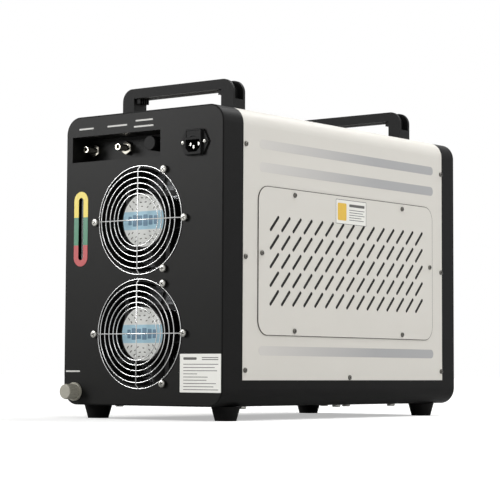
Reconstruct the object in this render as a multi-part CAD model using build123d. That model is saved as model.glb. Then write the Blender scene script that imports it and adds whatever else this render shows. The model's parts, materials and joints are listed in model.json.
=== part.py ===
from build123d import *
import math
import os

# Recirculating water chiller with a compressor, 580 x 285 x 470 mm.
# +Z is up, the connection side faces -Y, the control side +Y, and X = 0 is the middle.
# The origin lies on the floor under the middle of the overall box.

# Case
case_width = 285.0
case_depth = 580.0
overall_height = 470.0
handle_rise = 46.0
foot_height = 19.0
body_top = overall_height - handle_rise
side_x = case_width / 2
corner_radius = 24.0
sheet = 1.5
lap_gap = 0.3
rear_band = 43.0
front_band = 35.3
cover_edge_z = 54.3
flange_reach = 14.0
edge_round = 1.2
panel_lip = 5.0

# Feet
foot_top_diameter = 39.5
foot_bottom_diameter = 29.0
foot_inset_rear = 42.3
foot_inset_front = 41.9
rear_foot_x = side_x - 27.4
front_foot_x = side_x - 34.8
foot_screw_hole = 6.0
foot_screw_recess = 12.0

# Handles
handle_half_width = side_x - 41.5
handle_depth = 27.5
handle_leg = 21.0
handle_grip = 14.0
handle_corner = 18.0
handle_wall = 4.6
handle_channel_depth = 9.0
handle_foot_solid = 18.0
handle_inset = 29.0
grip_flute_width = 2.4
grip_flute_count = 5

# Screws
screw_shank = 3.6
screw_head = 7.0
screw_head_height = 2.2
fan_screw_head = 10.5
fan_screw_head_height = 3.2
base_screw_head = 12.0
base_screw_head_height = 3.5
screw_clearance = 0.2
shaft_clearance = 0.05
side_screw_reach = 6.0
cover_screw_rear_inset = 5.5
cover_screw_front_inset = 4.0
cover_screw_low_inset = 13.7
cover_screw_high_inset = 50.8
sill_screw_rise = 4.2

# Connection recess; what is on the rear face is placed from its left edge and its top
recess_left = -side_x + 11.2
recess_width = 163.2
recess_right = recess_left + recess_width
recess_bottom = body_top - 64.5
recess_top = body_top - 28.3
recess_depth = 37.0
recess_wall = 1.2
recess_flange = 3.6
connection_z = body_top - 44.5
inlet_x = recess_left + 12.3
outlet_x = recess_left + 72.8
alarm_x = recess_left + 138.3

# Water fittings
fitting_tube = 9.6
fitting_bore = 6.4
fitting_reach = 23.0
fitting_nut_flats = 17.0
fitting_nut_height = 6.0
barb_diameter = 11.0

# Alarm connector
alarm_cap_diameter = 20.0
alarm_cap_front = 6.0
alarm_socket_diameter = 15.6
alarm_socket_length = 17.0

# Mains inlet
mains_x = side_x - 48.5
mains_z = body_top - 50.2
mains_ear_span = 49.0
mains_block_width = 29.0
mains_block_height = 34.6
mains_block_reach = 6.5
mains_flange = 2.6
mains_screw_span = 38.0
mains_depth = 30.0
socket_width = 24.6
socket_height = 17.0
socket_depth = 17.0
socket_drop = 5.2
drawer_width = 22.0
drawer_height = 8.6
drawer_rise = 10.6
drawer_length = 26.0
drawer_gap = 0.3

# Fans
fan_x = -side_x + 139.3
fan_margin_below = 23.0
fan_gap = 6.0
fan_margin_above = 11.5
fan_depth = 51.0
fan_stack = recess_bottom - foot_height - fan_margin_below - fan_gap - fan_margin_above
fan_flange_half_height = fan_stack / 4
fan_flange_radius = fan_flange_half_height + 11.0
fan_flange_wall = 4.0
fan_duct_radius = fan_flange_half_height - 3.5
fan_duct_wall = 2.5
fan_hole_radius = fan_flange_half_height - 1.0
fan_screw_circle = fan_flange_half_height + 5.7
lower_fan_z = foot_height + fan_margin_below + fan_flange_half_height
upper_fan_z = lower_fan_z + 2 * fan_flange_half_height + fan_gap
fan_screw_angles = (0.0, 57.0, 180.0, 303.0)
fan_hub_radius = 40.0
fan_hub_depth = 14.0
fan_hub_inset = 5.5
fan_strut_width = 7.0
fan_strut_depth = 5.0
rotor_radius = 41.0
rotor_gap = 1.2
rotor_depth = 22.0
blade_count = 5
blade_tip_gap = 1.0
blade_thickness = 1.8
blade_root_chord = 30.0
blade_tip_chord = 52.0
blade_root_pitch = 48.0
blade_tip_pitch = 24.0
fan_shaft = 6.0

# Fan guards
guard_radius = fan_flange_half_height - 0.2
guard_ring_ratios = (0.89, 0.78, 0.675, 0.573, 0.484)
guard_wire = 1.8
guard_spoke_wire = 2.2
guard_rise = 4.6

# Level window and sight tube
gauge_x = -side_x + 29.1
gauge_bottom = 212.4
gauge_top = body_top - 106.2
gauge_width = 26.0
gauge_slot_width = 9.0
gauge_slot_length = gauge_top - gauge_bottom - 17.4
gauge_sheet = 0.4
sight_tube_diameter = 8.0
sight_tube_bore = 5.6
sight_tube_gap = 1.2

# Drain
drain_x = -side_x + 21.2
drain_z = 37.3
drain_flange_diameter = 25.6
drain_flange_height = 3.0
drain_cap_diameter = 21.6
drain_cap_reach = 18.0
drain_cap_ribs = 18
drain_thread = 14.0
drain_bore = 9.0

# Side filter panels, measured from the rear face and the floor
filter_panel_start = 76.2
filter_panel_end = case_depth - 65.3
filter_panel_bottom = 116.2
filter_panel_top = body_top - 105.4
filter_panel_corner = 20.0
filter_panel_sheet = 1.2
slot_columns = 15
slot_rows = 5
slot_first_y = filter_panel_start + 35.5
slot_pitch_y = (filter_panel_end - filter_panel_start - 73.1) / (slot_columns - 1)
slot_first_z = filter_panel_bottom + 50.8
slot_pitch_z = (filter_panel_top - filter_panel_bottom - 100.4) / (slot_rows - 1)
slot_length = 29.0
slot_width = 4.6
slot_angle = 46.0
window_margin = 7.0
filter_thickness = 6.0
filter_tab = 10.0
filter_screw_rows = (filter_panel_bottom + 6.2, filter_panel_top - 7.2)
filter_screw_columns = (filter_panel_start + 82.0, filter_panel_end - 84.7)
filter_screw_ends = (filter_panel_start + 6.9, filter_panel_end - 7.7)
filter_screw_end_rise = 9.6

# Condenser
condenser_width = case_width - 76.0
condenser_bottom = 36.0
condenser_top = body_top - 74.0
condenser_thickness = 44.0
condenser_gap = 8.0
condenser_end_plate = 1.5
condenser_fins = 26
condenser_fin_slot = 3.0
condenser_bends = 6
condenser_bend_margin = 30.0

# Compressor
compressor_x = -38.0
compressor_from_rear = 196.0
compressor_radius = 62.0
compressor_height = 196.0
compressor_dome = 40.0
compressor_mount_circle = 76.0
mount_radius = 14.0
mount_height = 16.0

# Tank on its shelf
tank_half_width = side_x - 37.5
tank_from_rear = 300.0
tank_length = case_depth - tank_from_rear - 96.0
tank_bottom = 214.0
tank_height = body_top - 70.0 - tank_bottom
tank_wall = 3.0
tank_corner = 16.0
lid_thickness = 4.0
shelf_margin = 6.0
tank_port_inset = 35.0
tank_port_rise = 18.0
tank_port_reach = 16.0

# Evaporator
evaporator_x = side_x - 46.5
evaporator_from_rear = 206.0
evaporator_width = 76.0
evaporator_height = 190.0
evaporator_bottom = 46.0
evaporator_thickness = 40.0
evaporator_plates = 8
evaporator_port_reach = 18.0
evaporator_port_y = 20.0
evaporator_port_z = 20.0

# Fill neck and cap
fill_x = 0.0
fill_from_rear = tank_from_rear + tank_length * 0.543
fill_neck_radius = 21.0
fill_neck_bore = 16.0
fill_neck_rise = 12.0
fill_cap_radius = 25.0
fill_cap_height = 15.0
fill_cap_wall = 2.6
fill_cap_ribs = 24

# Pump
pump_x = tank_half_width - 43.0
pump_from_rear = 372.0
pump_z = 62.0
pump_motor_radius = 30.0
pump_motor_length = 84.0
pump_head_radius = 36.0
pump_head_length = 34.0
pump_port_reach = 18.0

# Hoses over the barbs, and copper pipes
hose_diameter = 15.0
hose_grip = 11.0
hose_bend = 18.0
pipe_diameter = 8.0
pipe_bore = 6.0
pipe_bend = 14.0
drier_diameter = 20.0
drier_length = 64.0

# Control side
controller_width = 96.0
controller_height = 46.0
controller_depth = 62.0
controller_bezel = 5.0
controller_bezel_height = 2.4
controller_z = body_top - 68.0
controller_x = -20.0
switch_x = side_x - 58.5
switch_z = controller_z
switch_width = 22.0
switch_height = 30.0
switch_depth = 26.0
switch_wall = 2.2
rocker_tilt = 9.0
rocker_thickness = 7.0
rocker_axis_depth = 5.0
rocker_pin = 3.0
rocker_pin_reach = 1.0
control_box_width = 150.0
control_box_height = 60.0
control_box_depth = 46.0
control_box_bottom = 210.0

# Derived places
drain_reach = drain_flange_height + drain_cap_reach
front_reach = controller_bezel_height
case_shift = (drain_reach - front_reach) / 2
rear_y = -case_depth / 2 + case_shift
front_y = rear_y + case_depth
body_height = body_top - foot_height
body_mid_z = foot_height + body_height / 2
flange_inset = sheet + lap_gap
cover_rear_y = rear_y + rear_band
cover_front_y = front_y - front_band
floor_z = foot_height + sheet
panel_back_y = rear_y + sheet
front_panel_back_y = front_y - sheet
rear_handle_y = cover_rear_y + handle_inset
front_handle_y = cover_front_y - handle_inset - handle_depth + 1.5
fan_heights = dict(upper=upper_fan_z, lower=lower_fan_z)


def block(x0, x1, y0, y1, z0, z1):
    """A box between two corners."""
    size = Box(x1 - x0, y1 - y0, z1 - z0)
    return Pos((x0 + x1) / 2, (y0 + y1) / 2, (z0 + z1) / 2) * size


def rod_y(x, z, y0, y1, diameter):
    """A cylinder along Y."""
    return Pos(x, (y0 + y1) / 2, z) * Rot(90, 0, 0) * Cylinder(diameter / 2, y1 - y0)


def rod_z(x, y, z0, z1, diameter):
    """A cylinder along Z."""
    return Pos(x, y, (z0 + z1) / 2) * Cylinder(diameter / 2, z1 - z0)


def rod_x(x0, x1, y, z, diameter):
    """A cylinder along X."""
    return Pos((x0 + x1) / 2, y, z) * Rot(0, 90, 0) * Cylinder(diameter / 2, x1 - x0)


def slab_xz(outline, y0, y1):
    """An outline drawn in x and z, filled from y0 to y1."""
    plane = Plane(origin=(0, y1, 0), x_dir=(1, 0, 0), z_dir=(0, -1, 0))
    return extrude(plane * outline, y1 - y0)


def slab_yz(outline, x0, x1):
    """An outline drawn in y and z, filled from x0 to x1."""
    plane = Plane(origin=(x0, 0, 0), x_dir=(0, 1, 0), z_dir=(1, 0, 0))
    return extrude(plane * outline, x1 - x0)


def slab_xy(outline, z0, z1):
    """An outline drawn in x and y, filled from z0 to z1."""
    return extrude(Plane.XY.offset(z0) * outline, z1 - z0)


def case_outline(inset):
    """The case's rounded rectangle, drawn in x and z."""
    width = case_width - 2 * inset
    height = body_height - 2 * inset
    return Pos(0, body_mid_z) * RectangleRounded(width, height, corner_radius - inset)


def case_tube(outer_inset, inner_inset, y0, y1):
    """A ring of the case section from y0 to y1."""
    return slab_xz(case_outline(outer_inset) - case_outline(inner_inset), y0, y1)


def pipe(points, bend, diameter, bore):
    """A bent tube through the points, every corner rounded to the same bend."""
    path = FilletPolyline(*points, radius=bend) if len(points) > 2 else Line(*points)
    start = Plane(origin=path @ 0, z_dir=path % 0)
    return sweep(start * (Circle(diameter / 2) - Circle(bore / 2)), path=path)


def group(solids):
    """Separate solids kept as one node."""
    return Compound(children=list(solids))


# Case

def make_chassis():
    window_low = cover_edge_z
    skin = slab_xz(case_outline(0), rear_y, front_y)
    ends = skin.edges().group_by(Axis.Y)
    skin = fillet(ends[0] + ends[-1], edge_round)
    skin -= slab_xz(case_outline(sheet), rear_y - 1, front_y + 1)
    opening = block(-side_x - 1, side_x + 1, cover_rear_y, cover_front_y, window_low, body_top + 1)
    skin -= opening
    inner = flange_inset + sheet
    rear_web = case_tube(0, inner, cover_rear_y - sheet, cover_rear_y)
    front_web = case_tube(0, inner, cover_front_y, cover_front_y + sheet)
    rear_flange = case_tube(flange_inset, inner, cover_rear_y - sheet, cover_rear_y + flange_reach)
    front_flange = case_tube(flange_inset, inner, cover_front_y - flange_reach, cover_front_y + sheet)
    long_web = case_tube(0, inner, cover_rear_y, cover_front_y)
    long_web &= block(-side_x, side_x, cover_rear_y, cover_front_y, window_low - sheet, window_low)
    long_flange = case_tube(flange_inset, inner, cover_rear_y, cover_front_y)
    long_flange &= block(-side_x, side_x, cover_rear_y, cover_front_y, window_low - sheet,
                         window_low + flange_reach)
    above_floor = block(-side_x, side_x, rear_y, front_y, window_low - sheet, body_top)
    joggles = (rear_web + front_web + rear_flange + front_flange) & above_floor
    rear_lip = case_tube(sheet, sheet + panel_lip, panel_back_y, panel_back_y + sheet)
    front_lip = case_tube(sheet, sheet + panel_lip, front_panel_back_y - sheet, front_panel_back_y)
    chassis = skin + joggles + long_web + long_flange + rear_lip + front_lip
    for x, y, z in cover_screw_places():
        reach = 3 * sheet
        side = 1 if x > 0 else -1
        chassis -= rod_x(side * (side_x + 1) - reach, side * (side_x + 1) + reach, y, z, screw_shank)
    for x, y in foot_places():
        chassis -= rod_z(x, y, foot_height - 1, floor_z + 1, foot_screw_hole)
    for x, y in base_screw_places():
        chassis -= rod_z(x, y, foot_height - 1, floor_z + 1, screw_shank + 2 * screw_clearance)
    return chassis


def cover_screw_places():
    rear_screw_y = cover_rear_y + cover_screw_rear_inset
    front_screw_y = cover_front_y - cover_screw_front_inset
    low = cover_edge_z + cover_screw_low_inset
    high = body_top - cover_screw_high_inset
    heights = (low, (low + high) / 2, high)
    places = []
    for side in (-1, 1):
        for z in heights:
            places.append((side * side_x, rear_screw_y, z))
            places.append((side * side_x, front_screw_y, z))
        places.append((side * side_x, (cover_rear_y + cover_front_y) / 2, cover_edge_z + sill_screw_rise))
    return places


def make_cover():
    skin = case_tube(0, sheet, cover_rear_y + lap_gap, cover_front_y - lap_gap)
    skin &= block(-side_x, side_x, rear_y, front_y, cover_edge_z + lap_gap, body_top)
    window = window_block(-side_x - 1, side_x + 1, 0)
    cover = skin - window
    for x, y, z in cover_screw_places():
        side = 1 if x > 0 else -1
        cover -= rod_x(side * side_x - 3, side * side_x + 3, y, z, screw_shank)
    for x, y, z in filter_screw_places():
        side = 1 if x > 0 else -1
        cover -= rod_x(side * side_x - 3, side * side_x + 3, y, z, screw_shank)
    for x, y in handle_screw_places():
        cover -= rod_z(x, y, body_top - 3, body_top + 1, screw_shank + 2 * screw_clearance)
    cover -= rod_z(fill_x, rear_y + fill_from_rear, body_top - 3, body_top + 1,
                   2 * fill_neck_radius + 2 * lap_gap)
    return cover


def panel_blank(y0, y1):
    return slab_xz(case_outline(sheet + lap_gap), y0, y1)


def make_rear_panel():
    panel = panel_blank(rear_y, panel_back_y)
    cut_y0 = rear_y - 1
    cut_y1 = panel_back_y + 1
    for z in fan_heights.values():
        panel -= rod_y(fan_x, z, cut_y0, cut_y1, 2 * fan_hole_radius)
        for x, screw_z in fan_screw_places(z):
            panel -= rod_y(x, screw_z, cut_y0, cut_y1, screw_shank + 2 * screw_clearance)
    panel -= block(recess_left, recess_right, cut_y0, cut_y1, recess_bottom, recess_top)
    half_block = mains_block_width / 2
    half_height = mains_block_height / 2
    panel -= block(mains_x - half_block + 1, mains_x + half_block - 1, cut_y0, cut_y1,
                   mains_z - half_height + 1, mains_z + half_height - 1)
    for side in (-1, 1):
        panel -= rod_y(mains_x + side * mains_screw_span / 2, mains_z, cut_y0, cut_y1, screw_shank)
    slot = Pos(gauge_x, (gauge_top + gauge_bottom) / 2) * Rot(0, 0, 90) * SlotOverall(
        gauge_slot_length, gauge_slot_width)
    panel -= slab_xz(slot, cut_y0, cut_y1)
    panel -= rod_y(drain_x, drain_z, cut_y0, cut_y1, drain_thread)
    return panel


def make_front_panel():
    panel = panel_blank(front_panel_back_y, front_y)
    cut_y0 = front_panel_back_y - 1
    cut_y1 = front_y + 1
    half_w = controller_width / 2
    half_h = controller_height / 2
    panel -= block(controller_x - half_w, controller_x + half_w, cut_y0, cut_y1,
                   controller_z - half_h, controller_z + half_h)
    half_w = switch_width / 2
    half_h = switch_height / 2
    panel -= block(switch_x - half_w, switch_x + half_w, cut_y0, cut_y1,
                   switch_z - half_h, switch_z + half_h)
    return panel


def make_recess():
    left = recess_left + lap_gap
    right = recess_right - lap_gap
    low = recess_bottom + lap_gap
    high = recess_top - lap_gap
    wall = recess_wall
    back_y = rear_y + recess_depth
    tray = block(left - wall, right + wall, panel_back_y, back_y + wall, low - wall, high + wall)
    flange = recess_flange
    rim = block(left - flange, right + flange, panel_back_y, panel_back_y + wall,
                low - flange, high + flange)
    recess = tray + rim - block(left, right, panel_back_y - 1, back_y, low, high)
    for x in (inlet_x, outlet_x):
        recess -= rod_y(x, connection_z, back_y - 1, back_y + wall + 1, fitting_tube + 2 * screw_clearance)
    recess -= rod_y(alarm_x, connection_z, back_y - 1, back_y + wall + 1,
                    alarm_socket_diameter + 2 * screw_clearance)
    return recess


# Handles and feet

def make_handle(y0):
    """A moulded arch with a channel in its outer side and flutes under the grip."""
    half = handle_half_width
    low = body_top
    high = overall_height
    corner = handle_corner
    arch = block(-half, half, y0, y0 + handle_depth, low, high)
    tops = arch.edges().filter_by(Axis.Y).group_by(Axis.Z)[-1]
    arch = fillet(tops, corner)
    finger_gap = block(-half + handle_leg, half - handle_leg, y0 - 1, y0 + handle_depth + 1,
                       low - 1, high - handle_grip)
    arch -= finger_gap
    depth = handle_channel_depth
    channel = block(-half - 1, half + 1, y0 + handle_wall, y0 + handle_depth - handle_wall,
                    low + handle_foot_solid, high + 1)
    keep = block(-half + depth, half - depth, y0, y0 + handle_depth, low, high - depth + 2)
    keep_tops = keep.edges().filter_by(Axis.Y).group_by(Axis.Z)[-1]
    keep = fillet(keep_tops, corner - depth)
    legs_only = block(-half + handle_leg, half - handle_leg, y0 - 1, y0 + handle_depth + 1,
                      low - 1, high + 1)
    arch -= (channel - keep - legs_only)
    pitch = (handle_depth - 2 * handle_wall) / grip_flute_count
    for index in range(grip_flute_count):
        y = y0 + handle_wall + pitch * (index + 0.5)
        arch -= rod_x(-half + handle_leg + 6, half - handle_leg - 6, y, high - handle_grip,
                      grip_flute_width)
    for x, y in handle_screw_places():
        if y0 < y < y0 + handle_depth:
            arch -= rod_z(x, y, low - 1, low + 12, screw_shank)
    return arch


def handle_screw_places():
    x = handle_half_width - handle_leg / 2
    middles = (rear_handle_y + handle_depth / 2, front_handle_y + handle_depth / 2)
    return [(side * x, y) for side in (-1, 1) for y in middles]


def make_handle_screws():
    head_top = body_top - sheet
    screws = []
    for x, y in handle_screw_places():
        head = rod_z(x, y, head_top - screw_head_height, head_top, screw_head)
        screws.append(head + rod_z(x, y, head_top - 0.5, body_top + 12, screw_shank))
    return group(screws)


def foot_places():
    rear_foot_y = rear_y + foot_inset_rear
    front_foot_y = front_y - foot_inset_front
    return [(-rear_foot_x, rear_foot_y), (rear_foot_x, rear_foot_y),
            (-front_foot_x, front_foot_y), (front_foot_x, front_foot_y)]


def make_foot(x, y):
    """A tapered rubber foot with a counterbored screw hole."""
    top = foot_top_diameter / 2
    bottom = foot_bottom_diameter / 2
    foot = Pos(x, y, foot_height / 2) * Cone(bottom, top, foot_height)
    foot -= rod_z(x, y, -1, foot_height + 1, foot_screw_hole)
    foot -= rod_z(x, y, -1, foot_height / 2, foot_screw_recess)
    return foot


def make_foot_screws():
    """Each has its head in the counterbore and a nut on the floor."""
    screws = []
    head_z = foot_height / 2
    for x, y in foot_places():
        screw = rod_z(x, y, head_z - 3.5, head_z, foot_screw_recess - 1)
        screw += rod_z(x, y, head_z - 0.5, floor_z + 6, foot_screw_hole - 0.6)
        nut = slab_xy(Pos(x, y) * RegularPolygon(6.0, 6), floor_z + lap_gap, floor_z + 4.5)
        screws.append(screw + nut)
    return group(screws)


# Panels and screws on the sides

def window_block(x0, x1, margin):
    y0 = rear_y + slot_first_y - slot_length / 2 - window_margin + margin
    y1 = rear_y + slot_first_y + slot_pitch_y * (slot_columns - 1) + slot_length / 2 + window_margin - margin
    z0 = slot_first_z - slot_length / 2 - window_margin + margin
    z1 = slot_first_z + slot_pitch_z * (slot_rows - 1) + slot_length / 2 + window_margin - margin
    return block(x0, x1, y0, y1, z0, z1)


def filter_screw_places():
    end_z = (filter_panel_bottom + filter_panel_top) / 2 + filter_screw_end_rise
    places = []
    for side in (-1, 1):
        for from_rear in filter_screw_columns:
            for z in filter_screw_rows:
                places.append((side * side_x, rear_y + from_rear, z))
        for from_rear in filter_screw_ends:
            places.append((side * side_x, rear_y + from_rear, end_z))
    return places


def make_filter_panel():
    """A screwed-on plate with slanting slots and tabs that hold the filter."""
    width = filter_panel_end - filter_panel_start
    height = filter_panel_top - filter_panel_bottom
    mid_y = rear_y + (filter_panel_start + filter_panel_end) / 2
    mid_z = (filter_panel_bottom + filter_panel_top) / 2
    outline = Pos(mid_y, mid_z) * RectangleRounded(width, height, filter_panel_corner)
    slots = []
    for column in range(slot_columns):
        for row in range(slot_rows):
            y = rear_y + slot_first_y + slot_pitch_y * column
            z = slot_first_z + slot_pitch_z * row
            slot = Pos(y, z) * Rot(0, 0, slot_angle) * SlotOverall(slot_length, slot_width)
            slots.append(slot.wire())
    outline = Face(outline.wire(), slots)
    x0 = side_x
    x1 = side_x + filter_panel_sheet
    panel = slab_yz(outline, x0, x1)
    for x, y, z in filter_screw_places():
        if x > 0:
            panel -= rod_x(x0 - 1, x1 + 1, y, z, screw_shank + 2 * screw_clearance)
    window = window_block(x0 - sheet, x0, 0).bounding_box()
    hook = filter_panel_sheet
    back = x0 - filter_thickness - lap_gap
    for z in (window.min.Z, window.max.Z):
        inward = 1 if z == window.min.Z else -1
        for y in (window.min.Y + 60, (window.min.Y + window.max.Y) / 2, window.max.Y - 60):
            za = z + inward * lap_gap
            zb = za + inward * hook
            zc = za + inward * 6
            panel += block(back - hook, x0 + 0.5, y - filter_tab, y + filter_tab, min(za, zb), max(za, zb))
            panel += block(back - hook, back, y - filter_tab, y + filter_tab, min(za, zc), max(za, zc))
    return panel


def make_filter():
    """A foam pad behind the slots, held between the plate and its tabs."""
    margin = filter_panel_sheet + 2 * lap_gap
    return window_block(side_x - filter_thickness, side_x, margin)


def side_screw(x, y, z, base, depth):
    """A pan-head screw in a side wall; base is where its head sits."""
    side = 1 if x > 0 else -1
    head = rod_x(min(side * base, side * (base + screw_head_height)),
                 max(side * base, side * (base + screw_head_height)), y, z, screw_head)
    rim = head.edges().filter_by(GeomType.CIRCLE).group_by(Axis.X)[-1 if side > 0 else 0]
    head = fillet(rim, screw_head_height * 0.6)
    inner = side * (base - depth)
    outer = side * (base + 0.5)
    head += rod_x(min(inner, outer), max(inner, outer), y, z, screw_shank)
    return head


def make_cover_screws():
    return group(side_screw(x, y, z, side_x, side_screw_reach) for x, y, z in cover_screw_places())


def make_filter_screws():
    base = side_x + filter_panel_sheet
    return group(side_screw(x, y, z, base, side_screw_reach) for x, y, z in filter_screw_places())


# Fans

def fan_screw_places(z):
    places = []
    for angle in fan_screw_angles:
        turn = math.radians(angle)
        places.append((fan_x + fan_screw_circle * math.cos(turn), z + fan_screw_circle * math.sin(turn)))
    return places


def make_fan_frame(z):
    """A cast frame: a flange with two flats, a duct, and a hub on four tangent struts."""
    y0 = panel_back_y
    y1 = y0 + fan_depth
    flange_outline = Circle(fan_flange_radius) & Rectangle(2 * fan_flange_radius,
                                                           2 * fan_flange_half_height)
    duct_outer = fan_duct_radius + fan_duct_wall
    place = Pos(fan_x, z)
    flange = slab_xz(place * (flange_outline - Circle(fan_duct_radius)), y0, y0 + fan_flange_wall)
    back = slab_xz(place * (flange_outline - Circle(fan_duct_radius)), y1 - fan_flange_wall, y1)
    duct = slab_xz(place * (Circle(duct_outer) - Circle(fan_duct_radius)), y0, y1)
    hub_y0 = y0 + fan_hub_inset
    hub_y1 = hub_y0 + fan_hub_depth
    hub = rod_y(fan_x, z, hub_y0, hub_y1, 2 * fan_hub_radius)
    rim = hub.edges().filter_by(GeomType.CIRCLE).group_by(Axis.Y)[0]
    hub = fillet(rim, 2.0)
    hub -= rod_y(fan_x, z, hub_y0 + 4, hub_y1 + 1, fan_shaft + 2 * shaft_clearance)
    frame = flange + back + duct
    strut_mid = fan_hub_radius - fan_strut_width / 2
    strut_y = hub_y1 - fan_strut_depth
    outer_end = math.sqrt((fan_duct_radius + 1) ** 2 - strut_mid ** 2)
    strut = Pos(outer_end / 2, strut_mid) * Rectangle(outer_end, fan_strut_width)
    for quarter in range(4):
        outline = place * Rot(0, 0, -90 * quarter) * strut
        hub += slab_xz(outline, strut_y, strut_y + fan_strut_depth)
    frame += hub
    for x, screw_z in fan_screw_places(z):
        frame -= rod_y(x, screw_z, y0 - 1, y0 + fan_flange_wall + 1, screw_shank)
        frame -= rod_y(x, screw_z, y1 - fan_flange_wall - 1, y1 + 1, screw_shank)
    return frame


def make_impeller(z):
    """Five twisted blades on a cup-shaped rotor that runs on a shaft in the hub."""
    hub_back = panel_back_y + fan_hub_inset + fan_hub_depth
    y0 = hub_back + rotor_gap
    y1 = y0 + rotor_depth
    rotor = rod_y(0, 0, y0, y1, 2 * rotor_radius)
    rim = rotor.edges().filter_by(GeomType.CIRCLE).group_by(Axis.Y)[-1]
    rotor = fillet(rim, 3.0)
    rotor += rod_y(0, 0, hub_back - 8, y0 + 1, fan_shaft)
    mid_y = (y0 + y1) / 2
    tip_radius = fan_duct_radius - blade_tip_gap
    root = Plane(origin=(rotor_radius - 6, mid_y, 0), x_dir=(0, 1, 0), z_dir=(1, 0, 0))
    tip = Plane(origin=(tip_radius + 6, mid_y, 0), x_dir=(0, 1, 0), z_dir=(1, 0, 0))
    root_cut = root * Rot(0, 0, blade_root_pitch) * RectangleRounded(
        blade_root_chord, blade_thickness, blade_thickness * 0.45)
    tip_cut = tip * Rot(0, 0, blade_tip_pitch + 20) * RectangleRounded(
        blade_tip_chord, blade_thickness, blade_thickness * 0.45)
    blade = loft([root_cut, tip_cut], ruled=True)
    sweep_room = rod_y(0, 0, y0 - 0.2, y1 + 4, 2 * tip_radius)
    blade &= sweep_room
    impeller = rotor
    for index in range(blade_count):
        impeller += Rot(0, 360 / blade_count * index, 0) * blade
    return Pos(fan_x, 0, z) * impeller


def make_fan_guard(z):
    """Six welded rings; all but the outer one stand proud on two bent spokes."""
    guard = guard_ring(guard_radius, rear_y)
    for ratio in guard_ring_ratios:
        guard += guard_ring(guard_radius * ratio, rear_y - guard_rise)
    bend = guard_radius * 0.93
    low = rear_y - guard_wire + 0.4
    high = low - guard_rise
    wire = guard_spoke_wire
    corners = [(-guard_radius, low), (-bend, high), (bend, high), (guard_radius, low),
               (guard_radius, low - wire), (bend, high - wire), (-bend, high - wire),
               (-guard_radius, low - wire)]
    spoke = slab_xy(make_face(Polyline(*corners, close=True)), -wire / 2, wire / 2)
    guard += spoke
    guard += Rot(0, 90, 0) * spoke
    return Pos(fan_x, 0, z) * guard


def guard_ring(radius, y):
    half = guard_wire / 2
    return slab_xz(Circle(radius + half) - Circle(radius - half), y - guard_wire, y)


def make_fan_screws():
    """Washer-head screws that clamp the guards' outer rings and hold the fans."""
    screws = []
    head_y = rear_y - guard_wire
    for z in fan_heights.values():
        for x, screw_z in fan_screw_places(z):
            head = rod_y(x, screw_z, head_y - fan_screw_head_height, head_y, fan_screw_head)
            rim = head.edges().filter_by(GeomType.CIRCLE).group_by(Axis.Y)[0]
            head = fillet(rim, fan_screw_head_height * 0.55)
            head += rod_y(x, screw_z, head_y - 0.5, rear_y, screw_shank + 2.4)
            head += rod_y(x, screw_z, rear_y - 0.5, panel_back_y + fan_flange_wall, screw_shank)
            screws.append(head)
    return group(screws)


# Connections on the rear

def make_fitting(x):
    """A threaded bulkhead tube with a hex seat outside and a hose barb inside."""
    back_y = rear_y + recess_depth
    out_y = back_y - fitting_reach
    in_y = back_y + recess_wall
    fitting = rod_y(x, connection_z, out_y, in_y + 24, fitting_tube)
    fitting += rod_y(x, connection_z, in_y + 12, in_y + 24, barb_diameter)
    hexagon = Pos(x, connection_z) * RegularPolygon(fitting_nut_flats / 2, 6, major_radius=False)
    fitting += slab_xz(hexagon, back_y - fitting_nut_height, back_y)
    fitting -= rod_y(x, connection_z, out_y - 1, in_y + 25, fitting_bore)
    return fitting


def make_fitting_nuts():
    back_y = rear_y + recess_depth + recess_wall
    nuts = []
    for x in (inlet_x, outlet_x):
        hexagon = Pos(x, connection_z) * RegularPolygon(fitting_nut_flats / 2, 6, major_radius=False)
        nut = slab_xz(hexagon, back_y, back_y + fitting_nut_height)
        nuts.append(nut - rod_y(x, connection_z, back_y - 1, back_y + fitting_nut_height + 1,
                                fitting_tube + 2 * screw_clearance))
    return group(nuts)


def make_alarm_socket():
    back_y = rear_y + recess_depth
    socket = rod_y(alarm_x, connection_z, back_y - alarm_socket_length, back_y + 14,
                   alarm_socket_diameter)
    socket += rod_y(alarm_x, connection_z, back_y - 3, back_y, alarm_cap_diameter)
    socket += rod_y(alarm_x, connection_z, back_y + recess_wall, back_y + recess_wall + 3,
                    alarm_cap_diameter)
    socket -= rod_y(alarm_x, connection_z, back_y - alarm_socket_length - 1,
                    back_y - alarm_socket_length + 8, alarm_socket_diameter - 4)
    for side in (-1, 1):
        socket += rod_y(alarm_x + 3 * side, connection_z, back_y - alarm_socket_length + 1,
                        back_y - alarm_socket_length + 9, 1.6)
    return socket


def make_alarm_cap():
    back_y = rear_y + recess_depth
    front = rear_y + alarm_cap_front
    cap = rod_y(alarm_x, connection_z, front, back_y - 3 - lap_gap, alarm_cap_diameter)
    rim = cap.edges().filter_by(GeomType.CIRCLE).group_by(Axis.Y)[0]
    cap = fillet(rim, 0.8)
    cap -= rod_y(alarm_x, connection_z, back_y - alarm_socket_length - lap_gap, back_y,
                 alarm_socket_diameter + 2 * screw_clearance)
    return cap


def mains_outline():
    """The flange: a block with a pointed ear on each side."""
    half = mains_ear_span / 2
    top = mains_block_height / 2
    shoulder = mains_block_width / 2 + 1
    corners = [(-half, 0), (-shoulder, top), (shoulder, top), (half, 0), (shoulder, -top),
               (-shoulder, -top)]
    outline = make_face(Polyline(*corners, close=True))
    return Pos(mains_x, mains_z) * fillet(outline.vertices(), 2.0)


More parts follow.
